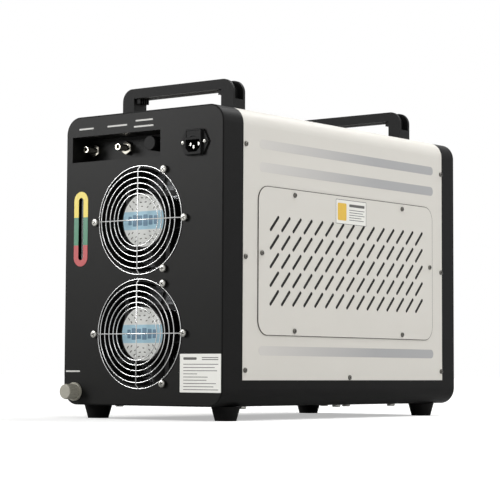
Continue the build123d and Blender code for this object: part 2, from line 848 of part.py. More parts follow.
def socket_outline(grow):
    """The appliance socket's opening: a rectangle with its two lower corners cut off."""
    half = socket_width / 2 + grow
    top = socket_height / 2 + grow
    bevel = 5.5
    corners = [(-half, top), (half, top), (half, -top + bevel), (half - bevel, -top),
               (-half + bevel, -top), (-half, -top + bevel)]
    outline = make_face(Polyline(*corners, close=True))
    return Pos(mains_x, mains_z - socket_drop) * fillet(outline.vertices(), 1.0)


def make_power_inlet():
    front = rear_y - mains_block_reach
    body = slab_xz(mains_outline(), rear_y - mains_flange, rear_y)
    half_w = mains_block_width / 2
    half_h = mains_block_height / 2
    raised = block(mains_x - half_w, mains_x + half_w, front, rear_y, mains_z - half_h, mains_z + half_h)
    raised = fillet(raised.edges().filter_by(Axis.Y), 3.0)
    fronts = raised.edges().group_by(Axis.Y)[0]
    raised = fillet(fronts, 0.8)
    inner = 1 + lap_gap
    body += raised
    body += block(mains_x - half_w + inner, mains_x + half_w - inner, rear_y - 1,
                  rear_y + mains_depth, mains_z - half_h + inner, mains_z + half_h - inner)
    body -= slab_xz(socket_outline(0), front - 1, front + socket_depth)
    body -= drawer_room(drawer_gap, front - 1, front + drawer_length + 1)
    for side in (-1, 1):
        x = mains_x + side * mains_screw_span / 2
        body -= rod_y(x, mains_z, front - 1, rear_y + 1, screw_shank)
    return body - make_inlet_pins()


def drawer_room(grow, y0, y1):
    half_w = drawer_width / 2 + grow
    half_h = drawer_height / 2 + grow
    z = mains_z + drawer_rise
    return block(mains_x - half_w, mains_x + half_w, y0, y1, z - half_h, z + half_h)


def make_fuse_drawer():
    front = rear_y - mains_block_reach
    drawer = drawer_room(0, front + 0.6, front + drawer_length)
    z = mains_z + drawer_rise
    well = block(mains_x - drawer_width / 2 + 2.6, mains_x + drawer_width / 2 - 2.6, front + 3.4,
                 front + drawer_length - 2, z - drawer_height / 2 + 1.6, z + drawer_height)
    grip = block(mains_x - 4, mains_x + 4, front, front + 1.6, z - drawer_height / 2 - 1,
                 z - drawer_height / 2 + 1.4)
    return drawer - well - grip


def make_fuse():
    """A glass tube fuse lying across the drawer's well."""
    front = rear_y - mains_block_reach
    z = mains_z + drawer_rise
    y = front + 3.4 + 10
    length = drawer_width - 2 * 2.6 - 0.6
    return rod_x(mains_x - length / 2, mains_x + length / 2, y, z - drawer_height / 2 + 1.6 + 2.6, 5.2)


def make_inlet_pins():
    """Line and neutral 14 mm apart, with the earth pin 4 mm lower and longer."""
    front = rear_y - mains_block_reach
    floor_y = front + socket_depth
    z = mains_z - socket_drop + 2.5
    pins = []
    for x, drop, length in ((-7, 0, 12.5), (7, 0, 12.5), (0, 4, 14.5)):
        blade = block(mains_x + x - 1, mains_x + x + 1, floor_y - length, floor_y + 6,
                      z - drop - 2, z - drop + 2)
        pins.append(blade)
    return pins


def make_mains_screws():
    screws = []
    for side in (-1, 1):
        x = mains_x + side * mains_screw_span / 2
        base = rear_y - mains_flange
        head = rod_y(x, mains_z, base - screw_head_height, base, screw_head - 0.6)
        rim = head.edges().filter_by(GeomType.CIRCLE).group_by(Axis.Y)[0]
        head = fillet(rim, screw_head_height * 0.6)
        screws.append(head + rod_y(x, mains_z, base - 0.5, panel_back_y + 3, screw_shank))
    return group(screws)


def make_level_scale():
    """The printed surround of the level window, a thin plate with a long slot."""
    length = gauge_top - gauge_bottom
    middle = Pos(gauge_x, (gauge_top + gauge_bottom) / 2) * Rot(0, 0, 90)
    outline = middle * SlotOverall(length, gauge_width) - middle * SlotOverall(
        gauge_slot_length, gauge_slot_width)
    return slab_xz(outline, rear_y - gauge_sheet, rear_y)


def sight_tube_y():
    return panel_back_y + sight_tube_gap + sight_tube_diameter / 2


def make_sight_tube():
    """The clear tube behind the slot."""
    y = sight_tube_y()
    low = gauge_bottom - 18
    high = gauge_top + 12
    tube = rod_z(gauge_x, y, low, high, sight_tube_diameter)
    return tube - rod_z(gauge_x, y, low - 1, high + 1, sight_tube_bore)


def make_tube_clips():
    """Two clips on the back of the panel that carry the sight tube."""
    clips = []
    y = sight_tube_y()
    for z in (gauge_bottom - 11, gauge_top + 5):
        clip = block(gauge_x - 8, gauge_x + 8, panel_back_y, y + sight_tube_diameter / 2 + 2.5,
                     z - 4, z + 4)
        clips.append(clip - rod_z(gauge_x, y, z - 5, z + 5, sight_tube_diameter))
    return group(clips)


def make_drain_spout():
    """The drain's bulkhead: a flange, a threaded nose and a tail inside."""
    nose_y = rear_y - drain_flange_height - drain_cap_reach + 5
    spout = rod_y(drain_x, drain_z, nose_y, panel_back_y + 20, drain_thread - 2 * screw_clearance)
    spout += rod_y(drain_x, drain_z, rear_y - drain_flange_height, rear_y, drain_flange_diameter)
    spout += rod_y(drain_x, drain_z, panel_back_y, panel_back_y + 4, drain_flange_diameter - 6)
    spout -= rod_y(drain_x, drain_z, nose_y - 1, panel_back_y + 21, drain_bore)
    return spout


def make_drain_cap():
    """A ribbed cap over the drain's nose."""
    base = rear_y - drain_flange_height
    front = base - drain_cap_reach
    radius = drain_cap_diameter / 2
    cap = rod_y(drain_x, drain_z, front, base - lap_gap, drain_cap_diameter - 1.4)
    rim = cap.edges().filter_by(GeomType.CIRCLE).group_by(Axis.Y)[0]
    cap = fillet(rim, 1.0)
    for index in range(drain_cap_ribs):
        turn = math.radians(360 / drain_cap_ribs * index)
        x = drain_x + (radius - 0.8) * math.cos(turn)
        z = drain_z + (radius - 0.8) * math.sin(turn)
        cap += rod_y(x, z, front + 2.5, base - lap_gap, 1.6)
    cap -= rod_y(drain_x, drain_z, front + 4.5, base, drain_thread)
    return cap


# Cooling circuit

def condenser_y():
    return panel_back_y + fan_depth + condenser_gap


def make_condenser():
    """A fin block between two end plates that stand on the floor, with return bends."""
    y0 = condenser_y()
    y1 = y0 + condenser_thickness
    half = condenser_width / 2
    block_half = half - condenser_end_plate
    condenser = block(-block_half, block_half, y0 + 2, y1 - 2, condenser_bottom, condenser_top)
    pitch = (condenser_top - condenser_bottom) / (condenser_fins + 1)
    grooves = []
    for index in range(condenser_fins):
        z = condenser_bottom + pitch * (index + 1)
        for ya, yb in ((y0, y0 + 8), (y1 - 8, y1)):
            grooves.append(block(-block_half - 1, block_half + 1, ya, yb, z - condenser_fin_slot / 2,
                                 z + condenser_fin_slot / 2))
    condenser -= grooves
    for side in (-1, 1):
        inner = side * block_half
        outer = side * half
        condenser += block(min(inner, outer), max(inner, outer), y0, y1, floor_z, condenser_top)
        foot_in = side * (half - 1)
        foot_out = side * (half + 12)
        condenser += block(min(foot_in, foot_out), max(foot_in, foot_out), y0, y1, floor_z,
                           floor_z + sheet)
    bend_pitch = (condenser_top - condenser_bottom - 2 * condenser_bend_margin) / (condenser_bends - 1)
    for index in range(condenser_bends):
        z = condenser_bottom + condenser_bend_margin + bend_pitch * index
        bend = slab_yz(Pos((y0 + y1) / 2, z) * SlotOverall(26, 8), half - 0.5, half + 10)
        condenser += bend - slab_yz(Pos((y0 + y1) / 2, z) * SlotOverall(11, 3), half, half + 11)
    return drill_base(condenser)


def drill_base(shape):
    """The shape with clearance holes over the floor's bolts."""
    hole = screw_shank + 2 * screw_clearance
    return shape - [rod_z(x, y, floor_z - 1, floor_z + 8, hole) for x, y in base_screw_places()]


def compressor_place():
    return compressor_x, rear_y + compressor_from_rear


def compressor_mount_places():
    x, y = compressor_place()
    places = []
    for index in range(3):
        turn = math.radians(90 + 120 * index)
        places.append((x + compressor_mount_circle * math.cos(turn),
                       y + compressor_mount_circle * math.sin(turn)))
    return places


def make_compressor():
    """A sealed welded shell with two domes, a base plate with three ears and a terminal box."""
    x, y = compressor_place()
    base = floor_z + mount_height
    low = base + 3
    high = low + compressor_height
    radius = compressor_radius
    dome = compressor_dome
    shell = rod_z(x, y, low, high, 2 * radius)
    rims = shell.edges().filter_by(GeomType.CIRCLE).sort_by(Axis.Z)
    shell = fillet(rims[-1], dome)
    rims = shell.edges().filter_by(GeomType.CIRCLE).sort_by(Axis.Z)
    shell = fillet(rims[0], dome / 2)
    weld_z = low + compressor_height * 0.55
    shell += rod_z(x, y, weld_z - 3, weld_z + 3, 2 * radius + 3)
    plate = rod_z(x, y, base, low + 1, 2 * radius * 0.8)
    for mx, my in compressor_mount_places():
        turn = math.degrees(math.atan2(my - y, mx - x))
        arm = Pos((mx + x) / 2, (my + y) / 2) * Rot(0, 0, turn) * Rectangle(compressor_mount_circle, 30)
        plate += slab_xy(arm, base, base + 3)
        plate += rod_z(mx, my, base, base + 3, 30)
        plate -= rod_z(mx, my, base - 1, base + 4, 12)
    terminal = block(x + radius - 6, x + radius + 18, y - 18, y + 18, low + 70, low + 120)
    suction, discharge = compressor_stubs()
    stubs = rod_x(x, suction[0], suction[1], suction[2], pipe_diameter + 2)
    stubs += rod_z(discharge[0], discharge[1], high - dome, discharge[2], pipe_diameter + 2)
    return shell + plate + terminal + stubs


def compressor_stubs():
    """The ends of the suction and discharge stubs."""
    x, y = compressor_place()
    high = floor_z + mount_height + 3 + compressor_height
    suction_y, suction_z = evaporator_ports()["suction"]
    return (x + compressor_radius + 6, suction_y, suction_z), (x - 12, y - 15, high + 10)


def make_compressor_mounts():
    """Rubber grommets under the ears, each on its stud with a nut."""
    mounts = []
    base = floor_z + mount_height
    for x, y in compressor_mount_places():
        rubber = rod_z(x, y, floor_z, base, 2 * mount_radius)
        rubber += rod_z(x, y, base - 0.5, base + 5, 11.6)
        rubber -= rod_z(x, y, floor_z - 1, base + 6, 6.4)
        mounts.append(rubber)
    return group(mounts)


def base_screw_places():
    """Fastenings through the floor: mounts, pump, shelf and condenser."""
    places = list(compressor_mount_places())
    pump_y = rear_y + pump_from_rear
    places += [(pump_x - 20, pump_y), (pump_x + 20, pump_y)]
    shelf_x = tank_half_width + shelf_margin - 10
    for y in (tank_y0() + 20, tank_y0() + tank_length - 20):
        places += [(-shelf_x, y), (shelf_x, y)]
    feet_x = condenser_width / 2 + 6.5
    places += [(-feet_x, condenser_y() + condenser_thickness / 2),
               (feet_x, condenser_y() + condenser_thickness / 2)]
    return places


def make_base_screws():
    """Bolts with their heads under the floor, where they show below the case."""
    bolts = []
    for index, (x, y) in enumerate(base_screw_places()):
        top = floor_z + 6
        if index < 3:
            top = floor_z + mount_height + 12
        bolt = rod_z(x, y, foot_height - base_screw_head_height, foot_height, base_screw_head)
        rim = bolt.edges().filter_by(GeomType.CIRCLE).group_by(Axis.Z)[0]
        bolt = fillet(rim, 1.2)
        bolt += rod_z(x, y, foot_height - 0.5, top, screw_shank)
        bolts.append(bolt)
    return group(bolts)


def tank_y0():
    return rear_y + tank_from_rear


def make_tank():
    """An open moulded tank with rounded corners and a rim."""
    length = tank_length
    y_mid = tank_y0() + length / 2
    high = tank_bottom + tank_height
    outer = Pos(0, y_mid) * RectangleRounded(2 * tank_half_width, length, tank_corner)
    inner = Pos(0, y_mid) * RectangleRounded(2 * (tank_half_width - tank_wall), length - 2 * tank_wall,
                                             tank_corner - tank_wall)
    rim = Pos(0, y_mid) * RectangleRounded(2 * tank_half_width + 8, length + 8, tank_corner + 4)
    tank = slab_xy(outer, tank_bottom, high) + slab_xy(rim, high - 4, high)
    tank -= slab_xy(inner, tank_bottom + tank_wall, high + 1)
    for x in tank_port_places():
        z = tank_bottom + tank_port_rise
        tank += rod_y(x, z, tank_y0() - tank_port_reach, tank_y0() + 1, barb_diameter)
        tank -= rod_y(x, z, tank_y0() - tank_port_reach - 1, tank_y0() + tank_wall + 1, fitting_bore)
    return tank


def tank_port_places():
    inset = tank_half_width - tank_port_inset
    return (-inset, inset)


def make_tank_lid():
    length = tank_length
    y_mid = tank_y0() + length / 2
    high = tank_bottom + tank_height
    rim = Pos(0, y_mid) * RectangleRounded(2 * tank_half_width + 8, length + 8, tank_corner + 4)
    lid = slab_xy(rim, high, high + lid_thickness)
    lid -= rod_z(fill_x, rear_y + fill_from_rear, high - 1, high + lid_thickness + 1,
                 2 * fill_neck_bore)
    return lid


def make_tank_shelf():
    """A folded table that carries the tank over the pump."""
    half = tank_half_width + shelf_margin
    y0 = tank_y0() - 4
    y1 = tank_y0() + tank_length + 4
    top = tank_bottom
    outer = block(-half, half, y0, y1, floor_z, top)
    inner = block(-half + sheet, half - sheet, y0 - 1, y1 + 1, floor_z - 1, top - sheet)
    shelf = outer - inner
    for side in (-1, 1):
        flange_in = side * (half - 20)
        flange_out = side * half
        shelf += block(min(flange_in, flange_out), max(flange_in, flange_out), y0, y1, floor_z,
                       floor_z + sheet)
        shelf -= block(min(side * (half - 3), side * (half + 1)), max(side * (half - 3), side * (half + 1)),
                       y0 + 30, y1 - 30, floor_z + 40, top - 40)
    return drill_base(shelf)


def make_evaporator():
    """A brazed plate exchanger: a stack of plates between two covers, with four ports."""
    x0 = evaporator_x - evaporator_thickness / 2
    x1 = x0 + evaporator_thickness
    y_mid = rear_y + evaporator_from_rear
    z_mid = evaporator_bottom + evaporator_height / 2
    outline = Pos(y_mid, z_mid) * RectangleRounded(evaporator_width, evaporator_height, 12)
    core = Pos(y_mid, z_mid) * RectangleRounded(evaporator_width - 4, evaporator_height - 4, 10)
    stack = slab_yz(core, x0, x1)
    pitch = evaporator_thickness / evaporator_plates
    for index in range(evaporator_plates):
        x = x0 + pitch * index
        stack += slab_yz(outline, x, x + pitch / 2)
    for name, (y, z) in evaporator_ports().items():
        diameter = barb_diameter if name in ("water_in", "water_out") else pipe_diameter + 2
        stack += rod_x(x0 - evaporator_port_reach, x0 + 1, y, z, diameter)
    half = evaporator_width / 2
    foot = block(x0, x1, y_mid - half + 8, y_mid + half - 8, floor_z, evaporator_bottom + 3)
    return stack + foot


def evaporator_ports():
    """Where the four ports are, as y and z: refrigerant nearer the condenser, water nearer the tank."""
    y_mid = rear_y + evaporator_from_rear
    low = evaporator_bottom + evaporator_port_z
    high = evaporator_bottom + evaporator_height - evaporator_port_z
    return {
        "liquid": (y_mid - evaporator_port_y, low),
        "suction": (y_mid - evaporator_port_y, high),
        "water_in": (y_mid + evaporator_port_y, low),
        "water_out": (y_mid + evaporator_port_y, high),
    }


def evaporator_port_x():
    return evaporator_x - evaporator_thickness / 2 - evaporator_port_reach


def make_water_hoses():
    """Return to the tank, tank to pump, pump to exchanger, and exchanger to the outlet."""
    left_port, right_port = tank_port_places()
    tank_y = tank_y0()
    tank_z = tank_bottom + tank_port_rise
    barb_y = rear_y + recess_depth + recess_wall + 12
    return_y = tank_y - tank_port_reach - 30
    turn_y = tank_y - tank_port_reach - 16
    grip = tank_port_reach - 5
    returned = pipe([(inlet_x, barb_y, connection_z), (inlet_x, return_y, connection_z),
                     (inlet_x, return_y, tank_z), (left_port, return_y, tank_z),
                     (left_port, tank_y - tank_port_reach + grip, tank_z)],
                    hose_bend, hose_diameter, hose_grip)
    pump_port_y = rear_y + pump_from_rear + pump_motor_length / 2 + pump_head_length / 2
    side_port_x = pump_x - pump_head_radius - pump_port_reach
    low_x = side_port_x - 22
    tight = hose_bend - 4
    suction = pipe([(right_port, tank_y - tank_port_reach + grip, tank_z), (right_port, turn_y, tank_z),
                    (low_x, turn_y, tank_z), (low_x, turn_y, pump_z), (low_x, pump_port_y, pump_z),
                    (side_port_x + grip, pump_port_y, pump_z)],
                   tight, hose_diameter, hose_grip)
    ports = evaporator_ports()
    port_x = evaporator_port_x()
    bend_x = port_x - 20
    water_y, in_z = ports["water_in"]
    top_z = pump_z + pump_head_radius + pump_port_reach
    delivery = pipe([(pump_x, pump_port_y, top_z - grip), (pump_x, pump_port_y, top_z + 32),
                     (bend_x, water_y, top_z + 32), (bend_x, water_y, in_z), (port_x + grip, water_y, in_z)],
                    hose_bend, hose_diameter, hose_grip)
    out_z = ports["water_out"][1]
    chilled = pipe([(port_x + grip, water_y, out_z), (bend_x, water_y, out_z),
                    (bend_x, water_y, connection_z), (outlet_x, water_y, connection_z),
                    (outlet_x, barb_y, connection_z)],
                   hose_bend, hose_diameter, hose_grip)
    return group([returned, suction, delivery, chilled])


def header_x():
    """Where the pipes to the condenser turn, beyond its left end plate."""
    return -condenser_width / 2 - 19


def drier_place():
    return header_x(), condenser_y() + condenser_thickness + 25


def make_refrigerant_pipes():
    """Hot gas to the condenser, liquid to the drier and on to the exchanger, and gas back."""
    suction_end, discharge_end = compressor_stubs()
    plate_x = -condenser_width / 2
    side = header_x()
    inner_y = condenser_y() + condenser_thickness / 2
    top_z = condenser_top - 22
    gas_x, gas_y, gas_z = discharge_end
    hot = pipe([(gas_x, gas_y, gas_z), (gas_x, gas_y, top_z), (side, gas_y, top_z), (side, inner_y, top_z),
                (plate_x, inner_y, top_z)], pipe_bend, pipe_diameter, pipe_bore)
    port_x = evaporator_port_x()
    liquid_y, liquid_z = evaporator_ports()["liquid"]
    drier_x, drier_y = drier_place()
    drier_low = liquid_z + 24
    drier_high = drier_low + drier_length
    to_drier = pipe([(plate_x, inner_y, drier_high + 30), (side, inner_y, drier_high + 30),
                     (side, drier_y, drier_high + 30), (side, drier_y, drier_high)],
                    pipe_bend, pipe_diameter, pipe_bore)
    behind_y = condenser_y() + condenser_thickness + 14
    turn_x = port_x - 16
    onward = pipe([(side, drier_y, drier_low), (side, drier_y, liquid_z), (side, behind_y, liquid_z),
                   (turn_x, behind_y, liquid_z), (turn_x, liquid_y, liquid_z), (port_x, liquid_y, liquid_z)],
                  5.0, pipe_diameter, pipe_bore)
    back = pipe([suction_end, (port_x, suction_end[1], suction_end[2])], pipe_bend, pipe_diameter, pipe_bore)
    return group([hot, to_drier, onward, back])


def make_drier():
    """A copper filter drier, a fat tube necked down at both ends."""
    x, y = drier_place()
    low = evaporator_ports()["liquid"][1] + 24
    drier = rod_z(x, y, low, low + drier_length, drier_diameter)
    rims = drier.edges().filter_by(GeomType.CIRCLE)
    return chamfer(rims, 8.0, 5.0)


def make_fill_neck():
    """The filler: a flanged tube from the tank's lid up through the cover."""
    y = rear_y + fill_from_rear
    base = tank_bottom + tank_height + lid_thickness
    top = body_top + fill_neck_rise
    neck = rod_z(fill_x, y, base, top, 2 * fill_neck_radius)
    neck += rod_z(fill_x, y, base, base + 4, 2 * fill_neck_radius + 12)
    neck -= rod_z(fill_x, y, base - 1, top + 1, 2 * fill_neck_bore)
    return neck


def make_fill_cap():
    y = rear_y + fill_from_rear
    top = body_top + fill_neck_rise + fill_cap_wall
    low = top - fill_cap_height
    low = max(low, body_top + lap_gap)
    cap = rod_z(fill_x, y, low, top, 2 * fill_cap_radius - 2)
    rim = cap.edges().filter_by(GeomType.CIRCLE).group_by(Axis.Z)[-1]
    cap = fillet(rim, 1.4)
    for index in range(fill_cap_ribs):
        turn = math.radians(360 / fill_cap_ribs * index)
        cap += rod_z(fill_x + (fill_cap_radius - 1) * math.cos(turn),
                     y + (fill_cap_radius - 1) * math.sin(turn), low, top - 2.4, 2.0)
    cap -= rod_z(fill_x, y, low - 1, top - fill_cap_wall, 2 * fill_neck_radius + 2 * lap_gap)
    return cap


def make_pump():
    """A motor and a pump head on one foot, with ports to the side and front."""
    y_mid = rear_y + pump_from_rear
    y0 = y_mid - pump_motor_length / 2
    y1 = y0 + pump_motor_length
    pump = rod_y(pump_x, pump_z, y0, y1, 2 * pump_motor_radius)
    rim = pump.edges().filter_by(GeomType.CIRCLE).group_by(Axis.Y)[0]
    pump = fillet(rim, 6.0)
    pump += rod_y(pump_x, pump_z, y1, y1 + pump_head_length, 2 * pump_head_radius)
    pump += block(pump_x - 28, pump_x + 28, y_mid - 26, y_mid + 26, floor_z, floor_z + 4)
    pump += block(pump_x - 10, pump_x + 10, y_mid - 22, y_mid + 22, floor_z, pump_z - 10)
    port_y = y1 + pump_head_length / 2
    reach = pump_head_radius + pump_port_reach
    pump += rod_z(pump_x, port_y, pump_z, pump_z + reach, barb_diameter)
    pump += rod_x(pump_x - reach, pump_x, port_y, pump_z, barb_diameter)
    return drill_base(pump)


def make_control_box():
    """The relay and terminal box behind the control side."""
    x0 = controller_x - 35
    y1 = front_panel_back_y
    z0 = control_box_bottom
    return block(x0, x0 + control_box_width, y1 - control_box_depth, y1, z0, z0 + control_box_height)


# Control side

def make_controller():
    half_w = controller_width / 2
    half_h = controller_height / 2
    gap = lap_gap
    body = block(controller_x - half_w + gap, controller_x + half_w - gap, front_y - controller_depth,
                 front_y + 1, controller_z - half_h + gap, controller_z + half_h - gap)
    bezel = block(controller_x - half_w - controller_bezel, controller_x + half_w + controller_bezel,
                  front_y, front_y + controller_bezel_height, controller_z - half_h - controller_bezel,
                  controller_z + half_h + controller_bezel)
    bezel = fillet(bezel.edges().filter_by(Axis.Y), 4.0)
    return body + bezel


def make_switch_housing():
    half_w = switch_width / 2
    half_h = switch_height / 2
    gap = lap_gap
    body = block(switch_x - half_w + gap, switch_x + half_w - gap, front_y - switch_depth, front_y + 1,
                 switch_z - half_h + gap, switch_z + half_h - gap)
    body += block(switch_x - half_w - 2, switch_x + half_w + 2, front_y, front_y + 2,
                  switch_z - half_h - 2, switch_z + half_h + 2)
    wall = switch_wall
    body -= block(switch_x - half_w + wall, switch_x + half_w - wall, front_y - 15, front_y + 3,
                  switch_z - half_h + wall, switch_z + half_h - wall)
    pocket = half_w - wall + rocker_pin_reach + lap_gap
    body -= rod_x(switch_x - pocket, switch_x + pocket, front_y - rocker_axis_depth, switch_z,
                  rocker_pin + 2 * shaft_clearance)
    return body


def make_rocker():
    """The rocker, drawn tilted to its off side, on two short trunnions."""
    half_w = switch_width / 2 - switch_wall - lap_gap
    length = switch_height - 2 * switch_wall - 2.4
    rocker = Box(2 * half_w, rocker_thickness, length)
    rocker = fillet(rocker.edges().filter_by(Axis.X), 1.2)
    pin = half_w + lap_gap + rocker_pin_reach
    rocker += rod_x(-pin, pin, 0, 0, rocker_pin)
    return Pos(switch_x, front_y - rocker_axis_depth, switch_z) * Rot(rocker_tilt, 0, 0) * rocker


parts = {
    "chassis": make_chassis(),
    "cover": make_cover(),
    "rear_panel": make_rear_panel(),
    "front_panel": make_front_panel(),
    "connection_recess": make_recess(),
    "rear_handle": make_handle(rear_handle_y),
    "front_handle": make_handle(front_handle_y),
    "handle_screws": make_handle_screws(),
    "foot_screws": make_foot_screws(),
    "right_filter_panel": make_filter_panel(),
    "right_dust_filter": make_filter(),
    "cover_screws": make_cover_screws(),
    "filter_panel_screws": make_filter_screws(),
    "fan_screws": make_fan_screws(),
    "water_inlet_fitting": make_fitting(inlet_x),
    "water_outlet_fitting": make_fitting(outlet_x),
    "fitting_nuts": make_fitting_nuts(),
    "alarm_socket": make_alarm_socket(),
    "alarm_cap": make_alarm_cap(),
    "power_inlet": make_power_inlet(),
    "power_inlet_pins": group(make_inlet_pins()),
    "power_inlet_screws": make_mains_screws(),
    "fuse_drawer": make_fuse_drawer(),
    "fuse": make_fuse(),
    "level_scale": make_level_scale(),
    "sight_tube": make_sight_tube(),
    "sight_tube_clips": make_tube_clips(),
    "drain_spout": make_drain_spout(),
    "drain_cap": make_drain_cap(),
    "condenser": make_condenser(),
    "compressor": make_compressor(),
    "compressor_mounts": make_compressor_mounts(),
    "base_screws": make_base_screws(),
    "water_tank": make_tank(),
    "tank_lid": make_tank_lid(),
    "tank_shelf": make_tank_shelf(),
    "evaporator": make_evaporator(),
    "water_hoses": make_water_hoses(),
    "refrigerant_pipes": make_refrigerant_pipes(),
    "filter_drier": make_drier(),
    "fill_neck": make_fill_neck(),
    "fill_cap": make_fill_cap(),
    "pump": make_pump(),
    "control_box": make_control_box(),
    "controller": make_controller(),
    "switch_housing": make_switch_housing(),
    "switch_rocker": make_rocker(),
}
for name in ("filter_panel", "dust_filter"):
    parts["left_" + name] = mirror(parts["right_" + name], about=Plane.YZ)
for name, place in zip(("rear_left_foot", "rear_right_foot", "front_left_foot", "front_right_foot"),
                       foot_places()):
    parts[name] = make_foot(*place)
for name, height in fan_heights.items():
    parts[name + "_fan_frame"] = make_fan_frame(height)
    parts[name + "_fan_impeller"] = make_impeller(height)
    parts[name + "_fan_guard"] = make_fan_guard(height)

os.makedirs("parts", exist_ok=True)
for name, shape in parts.items():
    export_step(shape, f"parts/{name}.step")
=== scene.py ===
# Recirculating water chiller, dressed round its CAD frame. Lengths are in metres unless a name says mm.
import json
import math

import bpy
from mathutils import Euler, Matrix, Vector

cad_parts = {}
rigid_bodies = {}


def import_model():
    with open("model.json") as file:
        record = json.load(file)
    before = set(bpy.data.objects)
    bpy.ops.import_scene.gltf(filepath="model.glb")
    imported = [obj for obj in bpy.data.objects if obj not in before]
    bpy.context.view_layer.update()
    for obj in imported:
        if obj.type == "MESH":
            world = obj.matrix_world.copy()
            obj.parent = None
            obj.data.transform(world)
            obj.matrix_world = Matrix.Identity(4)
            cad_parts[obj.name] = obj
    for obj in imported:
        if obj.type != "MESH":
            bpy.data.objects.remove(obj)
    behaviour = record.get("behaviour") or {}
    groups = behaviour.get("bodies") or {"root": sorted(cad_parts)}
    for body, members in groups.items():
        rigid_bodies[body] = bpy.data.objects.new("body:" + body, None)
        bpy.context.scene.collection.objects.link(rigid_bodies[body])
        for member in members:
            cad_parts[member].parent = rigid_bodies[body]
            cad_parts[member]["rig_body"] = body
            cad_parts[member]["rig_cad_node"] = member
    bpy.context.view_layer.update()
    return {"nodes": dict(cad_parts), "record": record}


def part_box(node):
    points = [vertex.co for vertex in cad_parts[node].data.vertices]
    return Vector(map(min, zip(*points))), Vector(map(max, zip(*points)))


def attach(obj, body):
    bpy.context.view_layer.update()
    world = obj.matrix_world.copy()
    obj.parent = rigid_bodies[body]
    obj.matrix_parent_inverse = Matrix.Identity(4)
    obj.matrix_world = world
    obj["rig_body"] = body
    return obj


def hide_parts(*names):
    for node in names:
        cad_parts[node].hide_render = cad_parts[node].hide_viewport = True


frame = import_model()
print("frame loaded:", len(frame["nodes"]), "nodes")

mm = 0.001
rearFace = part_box("rear_panel")[0].y  # the outside of the panel with the fans
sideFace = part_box("cover")[1].x  # the outside of the cover's flat sides
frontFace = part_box("front_panel")[1].y
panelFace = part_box("right_filter_panel")[1].x


# Selecting and shaping

def startFresh():
    if bpy.context.object and bpy.context.object.mode != "OBJECT":
        bpy.ops.object.mode_set(mode="OBJECT")
    bpy.ops.object.select_all(action="DESELECT")


def pick(*pieces):
    startFresh()
    for piece in pieces:
        piece.select_set(True)
    bpy.context.view_layer.objects.active = pieces[0]


def applyPlace(piece):
    pick(piece)
    bpy.ops.object.transform_apply(location=True, rotation=True, scale=True)


def facingTurn(axis):
    return Vector(axis).to_track_quat("Z", "Y").to_euler()


def fixNormals():
    bpy.ops.mesh.select_all(action="SELECT")
    bpy.ops.mesh.remove_doubles(threshold=1e-6)
    bpy.ops.mesh.normals_make_consistent(inside=False)
    bpy.ops.object.mode_set(mode="OBJECT")


def turnPiece(name, rings, place, axis, sides=32):
    # Rings are (distance along the axis, radius), from the first face to the last, in mm.
    startFresh()
    along = Vector(axis).normalized()
    origin = Vector(place)
    first = origin + along * rings[0][0] * mm
    bpy.ops.mesh.primitive_circle_add(vertices=sides, radius=rings[0][1] * mm, fill_type="NGON",
                                      location=first, rotation=facingTurn(axis))
    piece = bpy.context.object
    piece.name = name
    bpy.ops.object.mode_set(mode="EDIT")
    bpy.ops.mesh.select_all(action="SELECT")
    for before, after in zip(rings, rings[1:]):
        step = along * (after[0] - before[0]) * mm
        bpy.ops.mesh.extrude_region_move(TRANSFORM_OT_translate={"value": step})
        ratio = after[1] / before[1]
        middle = origin + along * after[0] * mm
        bpy.ops.transform.resize(value=(ratio, ratio, ratio), center_override=middle)
    fixNormals()
    applyPlace(piece)
    return piece


def bendWire(name, points, radius, sides=10):
    # A round wire through the points, its section turned to halve each bend.
    startFresh()
    points = [Vector(p) for p in points]
    runs = [(b - a).normalized() for a, b in zip(points, points[1:])]
    bpy.ops.mesh.primitive_circle_add(vertices=sides, radius=radius, fill_type="NGON",
                                      location=points[0], rotation=facingTurn(runs[0]))
    wire = bpy.context.object
    wire.name = name
    bpy.ops.object.mode_set(mode="EDIT")
    bpy.ops.mesh.select_all(action="SELECT")
    facing = runs[0]
    for index, point in enumerate(points[1:]):
        bpy.ops.mesh.extrude_region_move(TRANSFORM_OT_translate={"value": point - points[index]})
        after = runs[index + 1] if index + 1 < len(runs) else runs[index]
        halved = (runs[index] + after).normalized()
        turn = facing.rotation_difference(halved)
        if turn.angle > 1e-4:
            turnSelection(turn, point)
        facing = halved
    fixNormals()
    applyPlace(wire)
    return wire


def turnSelection(turn, middle):
    # With no window, rotate turns the other way, so each angle is given with its sign changed.
    angles = turn.to_euler("XYZ")
    for axis, angle in zip("XYZ", angles):
        if abs(angle) > 1e-6:
            bpy.ops.transform.rotate(value=-angle, orient_axis=axis, center_override=middle)


def ringWire(name, radius, wire, middle, axis, around=96, sides=10):
    startFresh()
    bpy.ops.mesh.primitive_torus_add(major_radius=radius, minor_radius=wire, major_segments=around,
                                     minor_segments=sides, location=middle, rotation=facingTurn(axis))
    ring = bpy.context.object
    ring.name = name
    applyPlace(ring)
    return ring


def roundedPlate(name, middle, size, thick, axis, corner, turns=6):
    # A thin plate facing the axis, with its corners rounded. Size is (across, up), and middle is on its back.
    startFresh()
    bpy.ops.mesh.primitive_plane_add(size=1, location=middle, rotation=facingTurn(axis))
    plate = bpy.context.object
    plate.name = name
    plate.scale = (size[0], size[1], 1)
    applyPlace(plate)
    bpy.ops.object.mode_set(mode="EDIT")
    bpy.ops.mesh.select_all(action="SELECT")
    if corner > 0:
        bpy.ops.mesh.bevel(offset=corner, offset_pct=0, segments=turns, affect="VERTICES")
        bpy.ops.mesh.select_all(action="SELECT")
    bpy.ops.mesh.extrude_region_move(TRANSFORM_OT_translate={"value": Vector(axis) * thick})
    fixNormals()
    return plate


